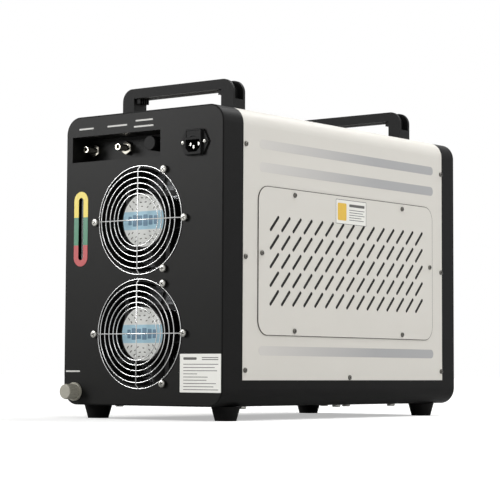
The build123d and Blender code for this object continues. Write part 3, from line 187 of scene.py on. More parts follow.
def ringPlate(name, middle, size, wide, thick, axis, corner, turns=6):
    # A rounded plate with its middle cut out, leaving a border of the given width.
    startFresh()
    bpy.ops.mesh.primitive_plane_add(size=1, location=middle, rotation=facingTurn(axis))
    ring = bpy.context.object
    ring.name = name
    ring.scale = (size[0], size[1], 1)
    applyPlace(ring)
    bpy.ops.object.mode_set(mode="EDIT")
    bpy.ops.mesh.select_all(action="SELECT")
    bpy.ops.mesh.bevel(offset=corner, offset_pct=0, segments=turns, affect="VERTICES")
    bpy.ops.mesh.select_all(action="SELECT")
    bpy.ops.mesh.inset(thickness=wide, depth=0)
    bpy.ops.mesh.delete(type="FACE")
    bpy.ops.mesh.select_all(action="SELECT")
    bpy.ops.mesh.extrude_region_move(TRANSFORM_OT_translate={"value": Vector(axis) * thick})
    fixNormals()
    return ring


def joinPieces(name, pieces):
    pick(*pieces)
    if len(pieces) > 1:
        bpy.ops.object.join()
    joined = bpy.context.object
    joined.name = name
    joined.data.name = name
    return joined


def copyAt(master, place, axis, spin=0.0):
    pick(master)
    bpy.ops.object.duplicate(linked=False)
    copied = bpy.context.object
    toAxis = Vector(axis).to_track_quat("Z", "Y")
    copied.rotation_euler = (toAxis.to_matrix() @ Matrix.Rotation(spin, 3, "Z")).to_euler()
    copied.location = place
    applyPlace(copied)
    return copied


def removePiece(piece):
    pick(piece)
    bpy.ops.object.delete()


def addModifier(piece, kind, **settings):
    pick(piece)
    modifier = piece.modifiers.new(kind.title(), kind)
    for key, value in settings.items():
        setattr(modifier, key, value)
    bpy.ops.object.modifier_apply(modifier=modifier.name)


def finishPiece(piece, material, body="case", replaced=(), angle=35):
    pick(piece)
    bpy.ops.object.shade_smooth_by_angle(angle=math.radians(angle))
    if material:  # without one, the piece keeps what it was given as it was made
        piece.data.materials.clear()
        for one in material if isinstance(material, (list, tuple)) else [material]:
            piece.data.materials.append(one)
    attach(piece, body)
    if replaced:
        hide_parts(*replaced)
    return piece


# Materials

def hexColour(text):
    parts = [int(text[i:i + 2], 16) / 255 for i in (1, 3, 5)]
    return [p / 12.92 if p <= 0.04045 else ((p + 0.055) / 1.055) ** 2.4 for p in parts] + [1.0]


def addNode(tree, kind, settings=None, links=None):
    node = tree.nodes.new(kind)
    for key, value in (settings or {}).items():
        if isinstance(key, int) or key in node.inputs:
            node.inputs[key].default_value = value
        else:
            setattr(node, key, value)
    for key, source in (links or {}).items():
        tree.links.new(source, node.inputs[key])
    return node


def freshMaterial(name):
    material = bpy.data.materials.new(name)
    material.use_nodes = True
    tree = material.node_tree
    tree.nodes.clear()
    return material, tree, addNode(tree, "ShaderNodeTexCoord")


def coverSurface(tree, spot, tone, look):
    # Fine grain in the bump and in the roughness, under the given colour.
    grain = addNode(tree, "ShaderNodeTexNoise", {"Scale": 1 / (look["grainMm"] * mm), "Detail": 2.0},
                    {"Vector": spot})
    low, high = look["roughness"]
    rough = addNode(tree, "ShaderNodeMapRange", {"From Min": 0.3, "From Max": 0.7, "To Min": low,
                                                 "To Max": high}, {"Value": grain.outputs["Fac"]})
    deep = look.get("bumpMm", look["grainMm"] * 0.3)
    bump = addNode(tree, "ShaderNodeBump", {"Strength": look["bump"], "Distance": deep * mm},
                   {"Height": grain.outputs["Fac"]})
    shader = addNode(tree, "ShaderNodeBsdfPrincipled", {"Metallic": look.get("metallic", 0.0)},
                     {"Base Color": tone, "Roughness": rough.outputs["Result"],
                      "Normal": bump.outputs["Normal"]})
    for key, value in look.get("shader", {}).items():
        shader.inputs[key].default_value = value
    addNode(tree, "ShaderNodeOutputMaterial", {}, {"Surface": shader.outputs["BSDF"]})


def makeFinish(name, look):
    # Two close colours in broad clouds, with fine grain in the bump and in the roughness.
    material, tree, place = freshMaterial(name)
    stretch = addNode(tree, "ShaderNodeMapping", {"Scale": look.get("stretch", (1, 1, 1))},
                      {"Vector": place.outputs["Object"]})
    spot = stretch.outputs["Vector"]
    clouds = addNode(tree, "ShaderNodeTexNoise", {"Scale": 1 / (look.get("cloudMm", 60) * mm),
                                                  "Detail": 3.0}, {"Vector": spot})
    colour = addNode(tree, "ShaderNodeMix", {"data_type": "RGBA"})
    tree.links.new(clouds.outputs["Fac"], colour.inputs["Factor"])
    colour.inputs[6].default_value = hexColour(look["colour"])
    colour.inputs[7].default_value = hexColour(look.get("second", look["colour"]))
    tone = colour.outputs[2]
    if "inner" in look:
        # The walls of the slots lie nearer the middle than the outer face, and take a darker colour: painted
        # shade in the slots.
        split = addNode(tree, "ShaderNodeSeparateXYZ", {}, {"Vector": place.outputs["Object"]})
        away = addNode(tree, "ShaderNodeMath", {"operation": "ABSOLUTE"}, {0: split.outputs["X"]})
        within = addNode(tree, "ShaderNodeMath", {"operation": "LESS_THAN", 1: look["outerFace"]},
                         {0: away.outputs[0]})
        shade = addNode(tree, "ShaderNodeMix", {"data_type": "RGBA", 7: hexColour(look["inner"])},
                        {0: within.outputs[0], 6: tone})
        tone = shade.outputs[2]
    coverSurface(tree, spot, tone, look)
    return material


finishes = {
    # Polyester powder coat, matt black: an even fine orange peel and a weak broad sheen.
    "powder_coat_black": dict(colour="#121211", second="#161615", grainMm=0.9, roughness=(0.36, 0.46),
                              bump=0.3, shader={"Specular IOR Level": 0.09}),
    # Polyester powder coat, warm light grey: smoother, with a satin sheen.
    "powder_coat_light_grey": dict(colour="#D6D3CC", second="#D2CFC8", grainMm=1.1,
                                   roughness=(0.38, 0.5), bump=0.2, shader={"Specular IOR Level": 0.3}),
    # The same coat on punched sheet, its slot walls coloured brown black: painted shade in the slots.
    "powder_coat_punched_sheet": dict(colour="#D6D3CC", second="#D2CFC8", grainMm=1.1, inner="#262320",
                                      outerFace=panelFace - 0.1 * mm, roughness=(0.38, 0.5), bump=0.2,
                                      shader={"Specular IOR Level": 0.3}),
    # Polyester powder coat on the case, deep matt black: less sheen than the rear panel.
    "powder_coat_deep_black": dict(colour="#0E0E0E", second="#111111", grainMm=0.9,
                                   roughness=(0.42, 0.52), bump=0.3,
                                   shader={"Specular IOR Level": 0.06}),
    # ABS moulded in a spark-eroded tool: dense fine grain, low gloss.
    "abs_black_grained": dict(colour="#111111", second="#151515", grainMm=0.7, roughness=(0.42, 0.56),
                              bump=0.4, shader={"Specular IOR Level": 0.09}),
    # Polyethylene, blow moulded: milky white, waxy.
    "polyethylene_natural": dict(colour="#E4E4DE", second="#DAD9D2", grainMm=2.0,
                                 roughness=(0.35, 0.5), bump=0.3),
    # Nylon, injection moulded: warm grey, satin, slightly blotchy.
    "nylon_warm_grey": dict(colour="#A5A296", second="#989588", cloudMm=8, grainMm=0.6,
                            roughness=(0.4, 0.55), bump=0.4),
    # Open-cell polyurethane foam, cut: soft black cells about a millimetre wide.
    "filter_foam": dict(colour="#1B1A19", second="#262523", cloudMm=3, grainMm=1.4,
                        roughness=(0.85, 0.95), bump=1.0),
    # Natural rubber, moulded: deep matt black with a dusty bloom.
    "rubber_black": dict(colour="#0C0C0C", second="#131212", cloudMm=12, grainMm=0.8,
                         roughness=(0.6, 0.8), bump=0.5, shader={"Specular IOR Level": 0.08}),
    # Dark grey, matt strip: painted shadow of the gap round each filter panel.
    "dark_grey_painted_gap_shadow": dict(colour="#45423D", second="#4E4B46", cloudMm=9, grainMm=0.7,
                           roughness=(0.6, 0.75), bump=0.3, shader={"Specular IOR Level": 0.15}),
    # Carbon steel, zinc plated: mid grey metal, faintly mottled.
    "zinc_plated_steel": dict(colour="#A3A29D", second="#8E8D88", cloudMm=4, grainMm=0.5, metallic=1.0,
                              roughness=(0.2, 0.34), bump=0.15),
    # Carbon steel, zinc plated, a darker copy for the screws in the sides: painted shade, with a few dull
    # patches.
    "zinc_steel_painted_darker": dict(colour="#6F6D68", second="#55534F", cloudMm=3, grainMm=0.5, metallic=1.0,
                               roughness=(0.18, 0.32), bump=0.15),
    # Steel inside a driver recess, nearly black: painted shade of the recess.
    "recess_steel_painted_shade": dict(colour="#1D1C1A", second="#141312", cloudMm=2, grainMm=0.5,
                              roughness=(0.5, 0.65), bump=0.2, shader={"Specular IOR Level": 0.1}),
    # Steel wire, drawn and chrome plated: hard bright highlights.
    "chrome_plated_wire": dict(colour="#CFCFCD", second="#BCBDBE", cloudMm=14, grainMm=0.6,
                               metallic=1.0, roughness=(0.1, 0.2), bump=0.08),
    # Brass, turned and nickel plated: warm bright metal.
    "nickel_plated_brass": dict(colour="#D2CEC4", second="#BDB8AA", cloudMm=5, grainMm=0.5,
                                metallic=1.0, roughness=(0.14, 0.26), bump=0.12),
    # Brass thread, nickel plated, darkened: painted shade of the recess on the plated tube, with dull lines.
    "brass_thread_painted_shade": dict(colour="#4A4843", second="#35332F", cloudMm=3, grainMm=0.5, metallic=1.0,
                               roughness=(0.25, 0.4), bump=0.2),
    # Aluminium sheet, rolled: fine lines across the fins.
    "aluminium_fin_stock": dict(colour="#C4C6C8", second="#AEB0B3", cloudMm=20, grainMm=1.2,
                                stretch=(1, 1, 6), metallic=1.0, roughness=(0.3, 0.5), bump=0.4),
    # Stainless steel, pressed and copper brazed: dull grey with a slight grain.
    "stainless_brazed": dict(colour="#B2B0AD", second="#A29E98", cloudMm=18, grainMm=1.0, metallic=1.0,
                             roughness=(0.28, 0.42), bump=0.2),
    # Steel shell, dipped in black enamel: semi-gloss, slightly wavy.
    "enamel_black": dict(colour="#191919", second="#202020", cloudMm=40, grainMm=3.0,
                         roughness=(0.22, 0.34), bump=0.3),
    # Aluminium alloy, die cast: pale grey with a fine pebbled skin.
    "die_cast_aluminium": dict(colour="#94958F", second="#84857F", cloudMm=14, grainMm=1.0,
                               metallic=1.0, roughness=(0.42, 0.6), bump=0.6),
    # Aluminium casting, electro-coated black: satin, fine pebbled skin.
    "casting_coated_black": dict(colour="#0D0D0D", second="#121212", cloudMm=20, grainMm=1.0,
                                 roughness=(0.4, 0.52), bump=0.5, shader={"Specular IOR Level": 0.1}),
    # Mild steel sheet, hot-dip galvanised: grey with dull spangles.
    "galvanised_sheet": dict(colour="#A9ABAC", second="#8F9294", cloudMm=9, grainMm=2.0, metallic=1.0,
                             roughness=(0.3, 0.5), bump=0.2),
    # Paper label, printed and laminated: near white, soft gloss.
    "label_stock": dict(colour="#E9E8E3", second="#E4E3DD", cloudMm=25, grainMm=1.5,
                        roughness=(0.3, 0.42), bump=0.15),
    # Paper label on a fan hub: greyer and duller than the data plate.
    "grey_hub_label_stock": dict(colour="#D8D9D6", second="#CDCECA", cloudMm=9, grainMm=1.0,
                              roughness=(0.45, 0.6), bump=0.2, shader={"Specular IOR Level": 0.2}),
    # Screen ink, dull blue.
    "ink_dull_blue": dict(colour="#4E6F86", second="#5C7D93", cloudMm=3, grainMm=0.6,
                          roughness=(0.45, 0.6), bump=0.2),
    # Screen ink, light grey on black.
    "ink_light_grey": dict(colour="#C9C8C4", second="#BDBCB8", cloudMm=4, grainMm=0.6,
                           roughness=(0.45, 0.6), bump=0.2),
    # Screen ink, dark grey on labels.
    "ink_dark_grey": dict(colour="#4A4946", second="#54534F", cloudMm=4, grainMm=0.6,
                          roughness=(0.45, 0.6), bump=0.2),
    # Screen ink, amber.
    "ink_amber": dict(colour="#E3B93C", second="#DAB035", cloudMm=6, grainMm=0.6,
                      roughness=(0.4, 0.5), bump=0.2),
    # Screen ink, pale blue.
    "ink_pale_blue": dict(colour="#A6C6D4", second="#97BACA", cloudMm=5, grainMm=0.6,
                          roughness=(0.45, 0.6), bump=0.2, shader={"Specular IOR Level": 0.2}),
    # Acrylic, polished: near black window.
    "acrylic_smoke": dict(colour="#14090A", second="#1A0C0D", cloudMm=20, grainMm=4.0,
                          roughness=(0.06, 0.1), bump=0.05),
    # Soft PVC, extruded: smooth dark hose with a satin sheen.
    "pvc_hose": dict(colour="#1C1D1F", second="#242528", cloudMm=25, grainMm=1.2,
                     roughness=(0.38, 0.5), bump=0.15),
    # Copper, drawn: warm bright pipe, dulled in patches by brazing heat.
    "copper_drawn": dict(colour="#C4765A", second="#9C5640", cloudMm=18, grainMm=0.8, metallic=1.0,
                         roughness=(0.24, 0.4), bump=0.12),
    # Silicone rubber, moulded: mid grey key tops.
    "silicone_grey": dict(colour="#77787A", second="#6D6E70", cloudMm=6, grainMm=0.5,
                          roughness=(0.5, 0.65), bump=0.3),
}
made = {name: makeFinish(name, look) for name, look in finishes.items()}


def makeClear(name, colour, look):
    material, tree, place = freshMaterial(name)
    waves = addNode(tree, "ShaderNodeTexNoise", {"Scale": 1 / (look["waveMm"] * mm), "Detail": 1.0},
                    {"Vector": place.outputs["Object"]})
    bump = addNode(tree, "ShaderNodeBump", {"Strength": 0.1, "Distance": 0.0002},
                   {"Height": waves.outputs["Fac"]})
    shader = addNode(tree, "ShaderNodeBsdfPrincipled",
                     {"Base Color": hexColour(colour), "Roughness": look["roughness"],
                      "IOR": look["ior"], "Transmission Weight": look["transmission"]},
                     {"Normal": bump.outputs["Normal"]})
    addNode(tree, "ShaderNodeOutputMaterial", {}, {"Surface": shader.outputs["BSDF"]})
    return material


# Borosilicate glass and clear PVC tube, drawn: thin, bright edges.
made["clear_tube"] = makeClear("clear_tube", "#EEF3F2",
                               dict(waveMm=12, roughness=0.06, ior=1.48, transmission=0.9))

levelWindow = dict(amberAbove=281.4, redBelow=242.2, amber="#D8C23E", green="#0E6B48", red="#A8282A",
                   grainMm=1.2, roughness=(0.28, 0.42), bump=0.15, bumpMm=0.2)


def makeLevelPrint(name, look):
    # Polyester film, screen printed on its face: three flat colours, one above the other.
    material, tree, place = freshMaterial(name)
    split = addNode(tree, "ShaderNodeSeparateXYZ", {}, {"Vector": place.outputs["Object"]})
    height = split.outputs["Z"]
    aboveRed = addNode(tree, "ShaderNodeMath", {"operation": "GREATER_THAN", 1: look["redBelow"] * mm},
                       {0: height})
    inAmber = addNode(tree, "ShaderNodeMath", {"operation": "GREATER_THAN", 1: look["amberAbove"] * mm},
                      {0: height})
    lower = addNode(tree, "ShaderNodeMix", {"data_type": "RGBA", 6: hexColour(look["red"]),
                                            7: hexColour(look["green"])},
                    {0: aboveRed.outputs["Value"]})
    whole = addNode(tree, "ShaderNodeMix", {"data_type": "RGBA", 7: hexColour(look["amber"])},
                    {0: inAmber.outputs["Value"], 6: lower.outputs[2]})
    coverSurface(tree, place.outputs["Object"], whole.outputs[2], look)
    return material


made["printed_level_film"] = makeLevelPrint("printed_level_film", levelWindow)

# The change from grey to pale along the film is painted reflection.
filmLook = dict(front="#A5A5A6", rear="#D0CDC8", paleEnd=-0.22, greyStart=0.08, grainMm=0.8,
                roughness=(0.34, 0.46), bump=0.15, bumpMm=0.2, shader={"Specular IOR Level": 0.35})


def makeFilmWithPaintedReflection(name, look):
    # Vinyl film, tinted and stuck on: cool grey at the control side, paler towards the fans as painted
    # reflection.
    material, tree, place = freshMaterial(name)
    split = addNode(tree, "ShaderNodeSeparateXYZ", {}, {"Vector": place.outputs["Object"]})
    fade = addNode(tree, "ShaderNodeMapRange", {"From Min": look["paleEnd"], "From Max": look["greyStart"]},
                   {"Value": split.outputs["Y"]})
    colour = addNode(tree, "ShaderNodeMix", {"data_type": "RGBA", 6: hexColour(look["rear"]),
                                             7: hexColour(look["front"])}, {0: fade.outputs["Result"]})
    coverSurface(tree, place.outputs["Object"], colour.outputs[2], look)
    return material


made["vinyl_film_painted_reflection"] = makeFilmWithPaintedReflection("vinyl_film_painted_reflection", filmLook)

slotFinish = {
    "black_steel": "powder_coat_black", "white_steel": "powder_coat_light_grey",
    "black_plastic": "abs_black_grained", "white_plastic": "polyethylene_natural",
    "grey_plastic": "nylon_warm_grey", "printed_film": "printed_level_film", "foam": "filter_foam",
    "black_rubber": "rubber_black", "zinc_screws": "zinc_plated_steel",
    "chromed_wire": "chrome_plated_wire", "plated_brass": "nickel_plated_brass",
    "clear_glass": "clear_tube", "aluminium_fins": "aluminium_fin_stock",
    "stainless_steel": "stainless_brazed", "black_shell": "enamel_black",
    "cast_body": "die_cast_aluminium", "fan_aluminium": "casting_coated_black",
    "plain_steel": "galvanised_sheet", "hose_pvc": "pvc_hose", "copper": "copper_drawn",
}
nodeSlots = {one["node"]: one["material_slot"] for one in frame["record"]["subparts"]}
nodeFinish = {  # where one node looks other than the rest of its slot
    "power_inlet_pins": "zinc_plated_steel", "chassis": "powder_coat_deep_black",
    "right_filter_panel": "powder_coat_punched_sheet", "left_filter_panel": "powder_coat_punched_sheet",
}
for nodeName, node in frame["nodes"].items():
    node.data.materials.clear()
    node.data.materials.append(made[nodeFinish.get(nodeName, slotFinish[nodeSlots[nodeName]])])
print("finishes given to the CAD nodes")


# Fans: guards of round wire, and the round label on each hub

fanGuard = dict(middleX=-3.2 * mm, heights=dict(upper=273.0 * mm, lower=117.0 * mm), radius=74.8 * mm,
                ratios=(0.89, 0.78, 0.675, 0.573, 0.484), wire=0.68 * mm, spoke=0.85 * mm, rise=4.6 * mm,
                bendStart=0.985, bendEnd=0.925)
hubLabel = dict(radius=36.6, thick=0.35, bandHalf=12.5 * mm, hubSet=6.9 * mm,
                rings=((31.5, 24, 4.2, 1.5), (25.5, 18, 3.6, 1.5), (19.5, 12, 3.2, 1.3)),
                blocks=((-24.0, 6.0, 12.0), (-15.5, 7.0, 16.0), (-6.0, 8.0, 14.0), (4.0, 8.0, 16.0),
                        (13.5, 7.0, 13.0), (22.5, 7.0, 12.0)), print=0.06)


def makeGuard(which, height, look):
    middle = Vector((look["middleX"], rearFace, height))
    wires = [ringWire(which + "_outer_ring", look["radius"], look["wire"],
                      middle + Vector((0, -look["wire"], 0)), (0, -1, 0), around=120)]
    low = -look["wire"]
    high = low - look["rise"]
    for index, ratio in enumerate(look["ratios"]):
        wires.append(ringWire(f"{which}_ring_{index}", look["radius"] * ratio, look["wire"],
                              middle + Vector((0, high, 0)), (0, -1, 0), around=112 - 10 * index))
    overRings = high - look["wire"] * 0.9
    overOuter = low - look["wire"] * 0.9
    radius = look["radius"]
    path = [(-radius, overOuter), (-radius * look["bendStart"], overOuter),
            (-radius * look["bendEnd"], overRings), (radius * look["bendEnd"], overRings),
            (radius * look["bendStart"], overOuter), (radius, overOuter)]
    wires.append(bendWire(which + "_level_spoke", [middle + Vector((x, y, 0)) for x, y in path],
                          look["spoke"]))
    wires.append(bendWire(which + "_upright_spoke", [middle + Vector((0, y, x)) for x, y in path],
                          look["spoke"]))
    guard = joinPieces(which + "_guard_wires", wires)
    return finishPiece(guard, made["chrome_plated_wire"],
                       replaced=[which + "_fan_guard"], angle=60)


def makeHubLabel(which, height, look, guardLook):
    place = (guardLook["middleX"], rearFace + look["hubSet"], height)
    disc = turnPiece(which + "_hub_label", [(0, look["radius"]), (look["thick"], look["radius"]),
                                            (look["thick"] + 0.1, look["radius"] - 0.2)],
                     place, (0, -1, 0), sides=64)
    pick(disc)
    bpy.ops.object.mode_set(mode="EDIT")
    for edge in (height - look["bandHalf"], height + look["bandHalf"]):
        bpy.ops.mesh.select_all(action="SELECT")
        bpy.ops.mesh.bisect(plane_co=(0, 0, edge), plane_no=(0, 0, 1))
    bpy.ops.object.mode_set(mode="OBJECT")
    finishPiece(disc, [made["grey_hub_label_stock"], made["ink_pale_blue"]])
    for face in disc.data.polygons:
        if abs(face.center.z - height) < look["bandHalf"] and face.normal.y < -0.5:
            face.material_index = 1
    return disc


def makeHubPrint(which, height, look, guardLook):
    # Rings of short dashes outside the band, and plain blocks in it.
    front = rearFace + look["hubSet"] - (look["thick"] + 0.1) * mm
    middle = Vector((guardLook["middleX"], front, height))
    dashes = []
    for radius, count, wide, tall in look["rings"]:
        master = roundedPlate("dash", (0, 0, 0), (wide * mm, tall * mm), look["print"] * mm, (0, 0, 1),
                              0.3 * mm, turns=2)
        for index in range(count):
            angle = 2 * math.pi * index / count + radius
            across, up = radius * math.cos(angle) * mm, radius * math.sin(angle) * mm
            if abs(up) > look["bandHalf"] + tall * mm:
                dashes.append(copyAt(master, middle + Vector((across, 0, up)), (0, -1, 0),
                                     spin=math.pi / 2 - angle))
        removePiece(master)
    finishPiece(joinPieces(which + "_hub_dashes", dashes), made["ink_dark_grey"])
    blocks = []
    for across, wide, tall in look["blocks"]:
        blocks.append(roundedPlate("block", middle + Vector((across * mm, 0, 0)), (wide * mm, tall * mm),
                                   look["print"] * mm, (0, -1, 0), 1.2 * mm, turns=3))
    finishPiece(joinPieces(which + "_hub_blocks", blocks), made["ink_dull_blue"])

for which, height in fanGuard["heights"].items():
    makeGuard(which, height, fanGuard)
    makeHubLabel(which, height, hubLabel, fanGuard)
    makeHubPrint(which, height, hubLabel, fanGuard)
print("fan guards and hub labels made")


# Screws with cross recesses

shankRadius = 1.8
screwHeads = {
    "fan": dict(radius=5.25, height=3.2, crown=1.2, slot=3.0, slotWide=1.25, depth=1.7,
                finish="zinc_plated_steel"),
    # The side screws take the darker copy of the zinc finish: painted shade.
    "side": dict(radius=3.5, height=2.2, crown=0.8, slot=2.2, slotWide=0.9, depth=1.2,
                 finish="zinc_steel_painted_darker"),
    "inlet": dict(radius=2.7, height=2.2, crown=0.8, slot=1.7, slotWide=0.7, depth=1.2,
                  finish="zinc_plated_steel"),
}


def makeScrewHead(name, look, shank):
    top = look["height"]
    radius = look["radius"]
    crown = look["crown"]
    head = turnPiece(name, [(-shank, shankRadius), (0, shankRadius), (0, radius), (top - crown, radius),
                            (top - crown * 0.45, radius * 0.93), (top - crown * 0.12, radius * 0.76),
                            (top, radius * 0.5)], (0, 0, 0), (0, 0, 1), sides=28)
    cutters = []
    for turn in (0, math.pi / 2):
        startFresh()
        bpy.ops.mesh.primitive_cube_add(size=1, location=(0, 0, (top - look["depth"] / 2 + 0.5) * mm),
                                        rotation=(0, 0, turn))
        cutter = bpy.context.object
        cutter.scale = (look["slot"] * 2 * mm, look["slotWide"] * mm, (look["depth"] + 1) * mm)
        applyPlace(cutter)
        cutters.append(cutter)
    # The faces cut by the cross recess take the near-black steel: painted shade in the recess.
    for finish in (look["finish"], "recess_steel_painted_shade"):
        head.data.materials.append(made[finish])
    for cutter in cutters:
        cutter.data.materials.append(made["recess_steel_painted_shade"])
        addModifier(head, "BOOLEAN", operation="DIFFERENCE", object=cutter, solver="EXACT",
                    material_mode="TRANSFER")
    for cutter in cutters:
        removePiece(cutter)
    return head


def loosePlaces(nodeName):
    # The middles of a node's separate screws, found from its own loose triangles.
    source = frame["nodes"][nodeName]
    pick(source)
    bpy.ops.object.duplicate(linked=False)
    copied = bpy.context.object
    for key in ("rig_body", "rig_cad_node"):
        if key in copied:
            del copied[key]
    bpy.ops.object.mode_set(mode="EDIT")
    bpy.ops.mesh.select_all(action="SELECT")
    bpy.ops.mesh.remove_doubles(threshold=2e-5)
    bpy.ops.mesh.separate(type="LOOSE")
    bpy.ops.object.mode_set(mode="OBJECT")
    shells = list(bpy.context.selected_objects)
    boxes = []
    for shell in shells:
        corners = [Vector(v.co) for v in shell.data.vertices]
        low = Vector([min(c[i] for c in corners) for i in range(3)])
        high = Vector([max(c[i] for c in corners) for i in range(3)])
        boxes.append((low, high))
    pick(*shells)
    bpy.ops.object.delete()
    return sorted(boxes, key=lambda box: (round(box[0].x, 4), round(box[0].y, 4), round(box[0].z, 4)))


def dressScrews(name, nodeName, look, shank, faceOf):
    master = makeScrewHead(name + "_master", look, shank)
    copies = []
    for index, (low, high) in enumerate(loosePlaces(nodeName)):
        middle = (low + high) / 2
        place, axis = faceOf(low, high, middle)
        copies.append(copyAt(master, place, axis, spin=0.7 * index + 0.3))
    removePiece(master)
    screws = joinPieces(name, copies)
    return finishPiece(screws, None, replaced=[nodeName], angle=30)


def rearScrew(look):
    return lambda low, high, middle: (Vector((middle.x, low.y + look["height"] * mm, middle.z)),
                                      (0, -1, 0))


def sideScrew(look):
    def place(low, high, middle):
        if middle.x > 0:
            return Vector((high.x - look["height"] * mm, middle.y, middle.z)), (1, 0, 0)
        return Vector((low.x + look["height"] * mm, middle.y, middle.z)), (-1, 0, 0)
    return place


dressScrews("fan_screw_heads", "fan_screws", screwHeads["fan"], 6.0, rearScrew(screwHeads["fan"]))
dressScrews("inlet_screw_heads", "power_inlet_screws", screwHeads["inlet"], 5.0,
            rearScrew(screwHeads["inlet"]))
dressScrews("cover_screw_heads", "cover_screws", screwHeads["side"], 5.5, sideScrew(screwHeads["side"]))
dressScrews("filter_panel_screw_heads", "filter_panel_screws", screwHeads["side"], 5.5,
            sideScrew(screwHeads["side"]))
print("screws dressed")


# Water fittings: turned threads on a hexagonal seat

fitting = dict(places=dict(inlet=-119.0, outlet=-58.5), height=379.5, recess=37.0, reach=23.0, wall=1.2,
               tube=4.8, root=4.25, bore=3.2, flats=17.0, seat=6.0, pitch=1.25, tail=24.0, barb=5.5, rim=0.9)


def makeFitting(which, x, look):
    back = rearFace + look["recess"] * mm
    place = Vector((x * mm, back, look["height"] * mm))
    rings = [(-look["wall"] - look["tail"], look["bore"]), (-look["wall"] - look["tail"], look["barb"] - 0.8)]
    for step in range(3):
        start = -look["wall"] - look["tail"] + 4 * step
        rings += [(start + 3.2, look["barb"]), (start + 4, look["barb"] - 0.8)]
    rings += [(-look["wall"] - 11, look["tube"]), (look["seat"], look["tube"])]
    turns = int((look["reach"] - look["seat"] - 2.0) / look["pitch"])
    for turn in range(turns):
        start = look["seat"] + 0.8 + turn * look["pitch"]
        rings += [(start, look["root"]), (start + 0.25 * look["pitch"], look["root"]),
                  (start + 0.6 * look["pitch"], look["tube"]), (start + 0.75 * look["pitch"], look["tube"])]
    rings += [(look["reach"] - 0.6, look["tube"] - 0.1), (look["reach"], look["tube"] - 0.6),
              (look["reach"], look["bore"]), (-look["wall"] - look["tail"], look["bore"])]
    tube = turnPiece(which + "_tube", rings, place, (0, -1, 0), sides=32)
    openEnds(tube)
    startFresh()
    bpy.ops.mesh.primitive_cylinder_add(vertices=6, radius=look["flats"] / math.sqrt(3) * mm,
                                        depth=look["seat"] * mm, rotation=facingTurn((0, -1, 0)),
                                        location=place + Vector((0, -look["seat"] / 2 * mm, 0)))
    seat = bpy.context.object
    applyPlace(seat)
    addModifier(seat, "BEVEL", width=0.5 * mm, segments=2, limit_method="ANGLE")
    fittingPiece = joinPieces(f"water_{which}_stub", [tube, seat])
    finishPiece(fittingPiece, [made["nickel_plated_brass"], made["brass_thread_painted_shade"]],
                replaced=[f"water_{which}_fitting"], angle=40)
    # Faces along the thread take the dark brass: painted shade on the plated tube, while the seat and rim
    # stay bright.
    threadFront = back - (look["reach"] - look["rim"]) * mm
    threadRear = back - (look["seat"] + 0.01) * mm
    for face in fittingPiece.data.polygons:
        if threadFront < face.center.y < threadRear:
            face.material_index = 1


def openEnds(piece):
    # The first and last faces of a turned tube lie on each other, so both go and the bore stays open.
    pick(piece)
    bpy.ops.object.mode_set(mode="EDIT")
    bpy.ops.mesh.select_all(action="DESELECT")
    bpy.ops.object.mode_set(mode="OBJECT")
    most = max(len(face.vertices) for face in piece.data.polygons)
    for face in piece.data.polygons:
        face.select = len(face.vertices) == most
    bpy.ops.object.mode_set(mode="EDIT")
    bpy.ops.mesh.delete(type="ONLY_FACE")
    fixNormals()


for which, x in fitting["places"].items():
    makeFitting(which, x, fitting)
print("fittings made")


# Film, labels and printed bars

stripes = dict(start=79.0, end=519.0, heights=((369.7, 382.6), (337.9, 351.4), (88.0, 101.0)), thick=0.12)


def makeStripes(name, side, look):
    strips = []
    for low, high in look["heights"]:
        middle = (side * sideFace, rearFace + (look["start"] + look["end"]) / 2 * mm, (low + high) / 2 * mm)
        tall = (high - low) * mm
        strip = roundedPlate(name + "_part", middle, ((look["end"] - look["start"]) * mm, tall),
                             look["thick"] * mm, (side, 0, 0), tall * 0.49, turns=8)
        strips.append(strip)
    piece = joinPieces(name, strips)
    return finishPiece(piece, made["vinyl_film_painted_reflection"])


makeStripes("right_stripes", 1, stripes)
makeStripes("left_stripes", -1, stripes)

printThick = 0.05  # of the ink on a plate
barMarks = {
    "inlet_mark": [(-118.9, -91.4, 406.4)],
    "outlet_mark": [(-65.5, -29.0, 406.8)],
    "alarm_mark": [(-13.3, 18.1, 411.1), (-16.4, 19.2, 402.8)],
    "drain_mark": [(-139.0, -112.0, 65.6)],
}


def makeBars(name, bars, tall, thick, material):
    plates = []
    for left, right, height in bars:
        middle = ((left + right) / 2 * mm, rearFace, height * mm)
        plates.append(roundedPlate(name + "_bar", middle, ((right - left) * mm, tall * mm), thick * mm,
                                   (0, -1, 0), tall * 0.45 * mm, turns=4))
    return finishPiece(joinPieces(name, plates), material)


for name, bars in barMarks.items():
    makeBars(name, bars, 2.2, 0.06, made["ink_light_grey"])

rearPlate = dict(left=70.0, right=140.5, low=38.0, high=89.5, thick=0.25,
                 rows=((76, 99, 83.2, 3.4), (108, 136, 84.4, 1.1), (108, 136, 81.8, 1.1),
                       (76, 136, 75.6, 0.9), (76, 130, 71.2, 0.9), (76, 134, 67.0, 0.9),
                       (76, 100, 62.8, 0.9), (76, 118, 58.6, 0.9), (76, 116, 54.4, 0.9),
                       (76, 132, 50.0, 0.9), (76, 128, 45.8, 0.9), (76, 136, 41.8, 0.9)))


def makeRearPlate(look):
    middle = ((look["left"] + look["right"]) / 2 * mm, rearFace, (look["low"] + look["high"]) / 2 * mm)
    size = ((look["right"] - look["left"]) * mm, (look["high"] - look["low"]) * mm)
    plate = roundedPlate("rear_data_plate", middle, size, look["thick"] * mm, (0, -1, 0), 0.8 * mm)
    finishPiece(plate, made["label_stock"])
    bars = []
    for left, right, height, tall in look["rows"]:
        place = ((left + right) / 2 * mm, rearFace - look["thick"] * mm, height * mm)
        bars.append(roundedPlate("plate_bar", place, ((right - left) * mm, tall * mm), printThick * mm,
                                 (0, -1, 0), tall * 0.3 * mm, turns=2))
    finishPiece(joinPieces("rear_data_plate_bars", bars), made["ink_dark_grey"])


makeRearPlate(rearPlate)

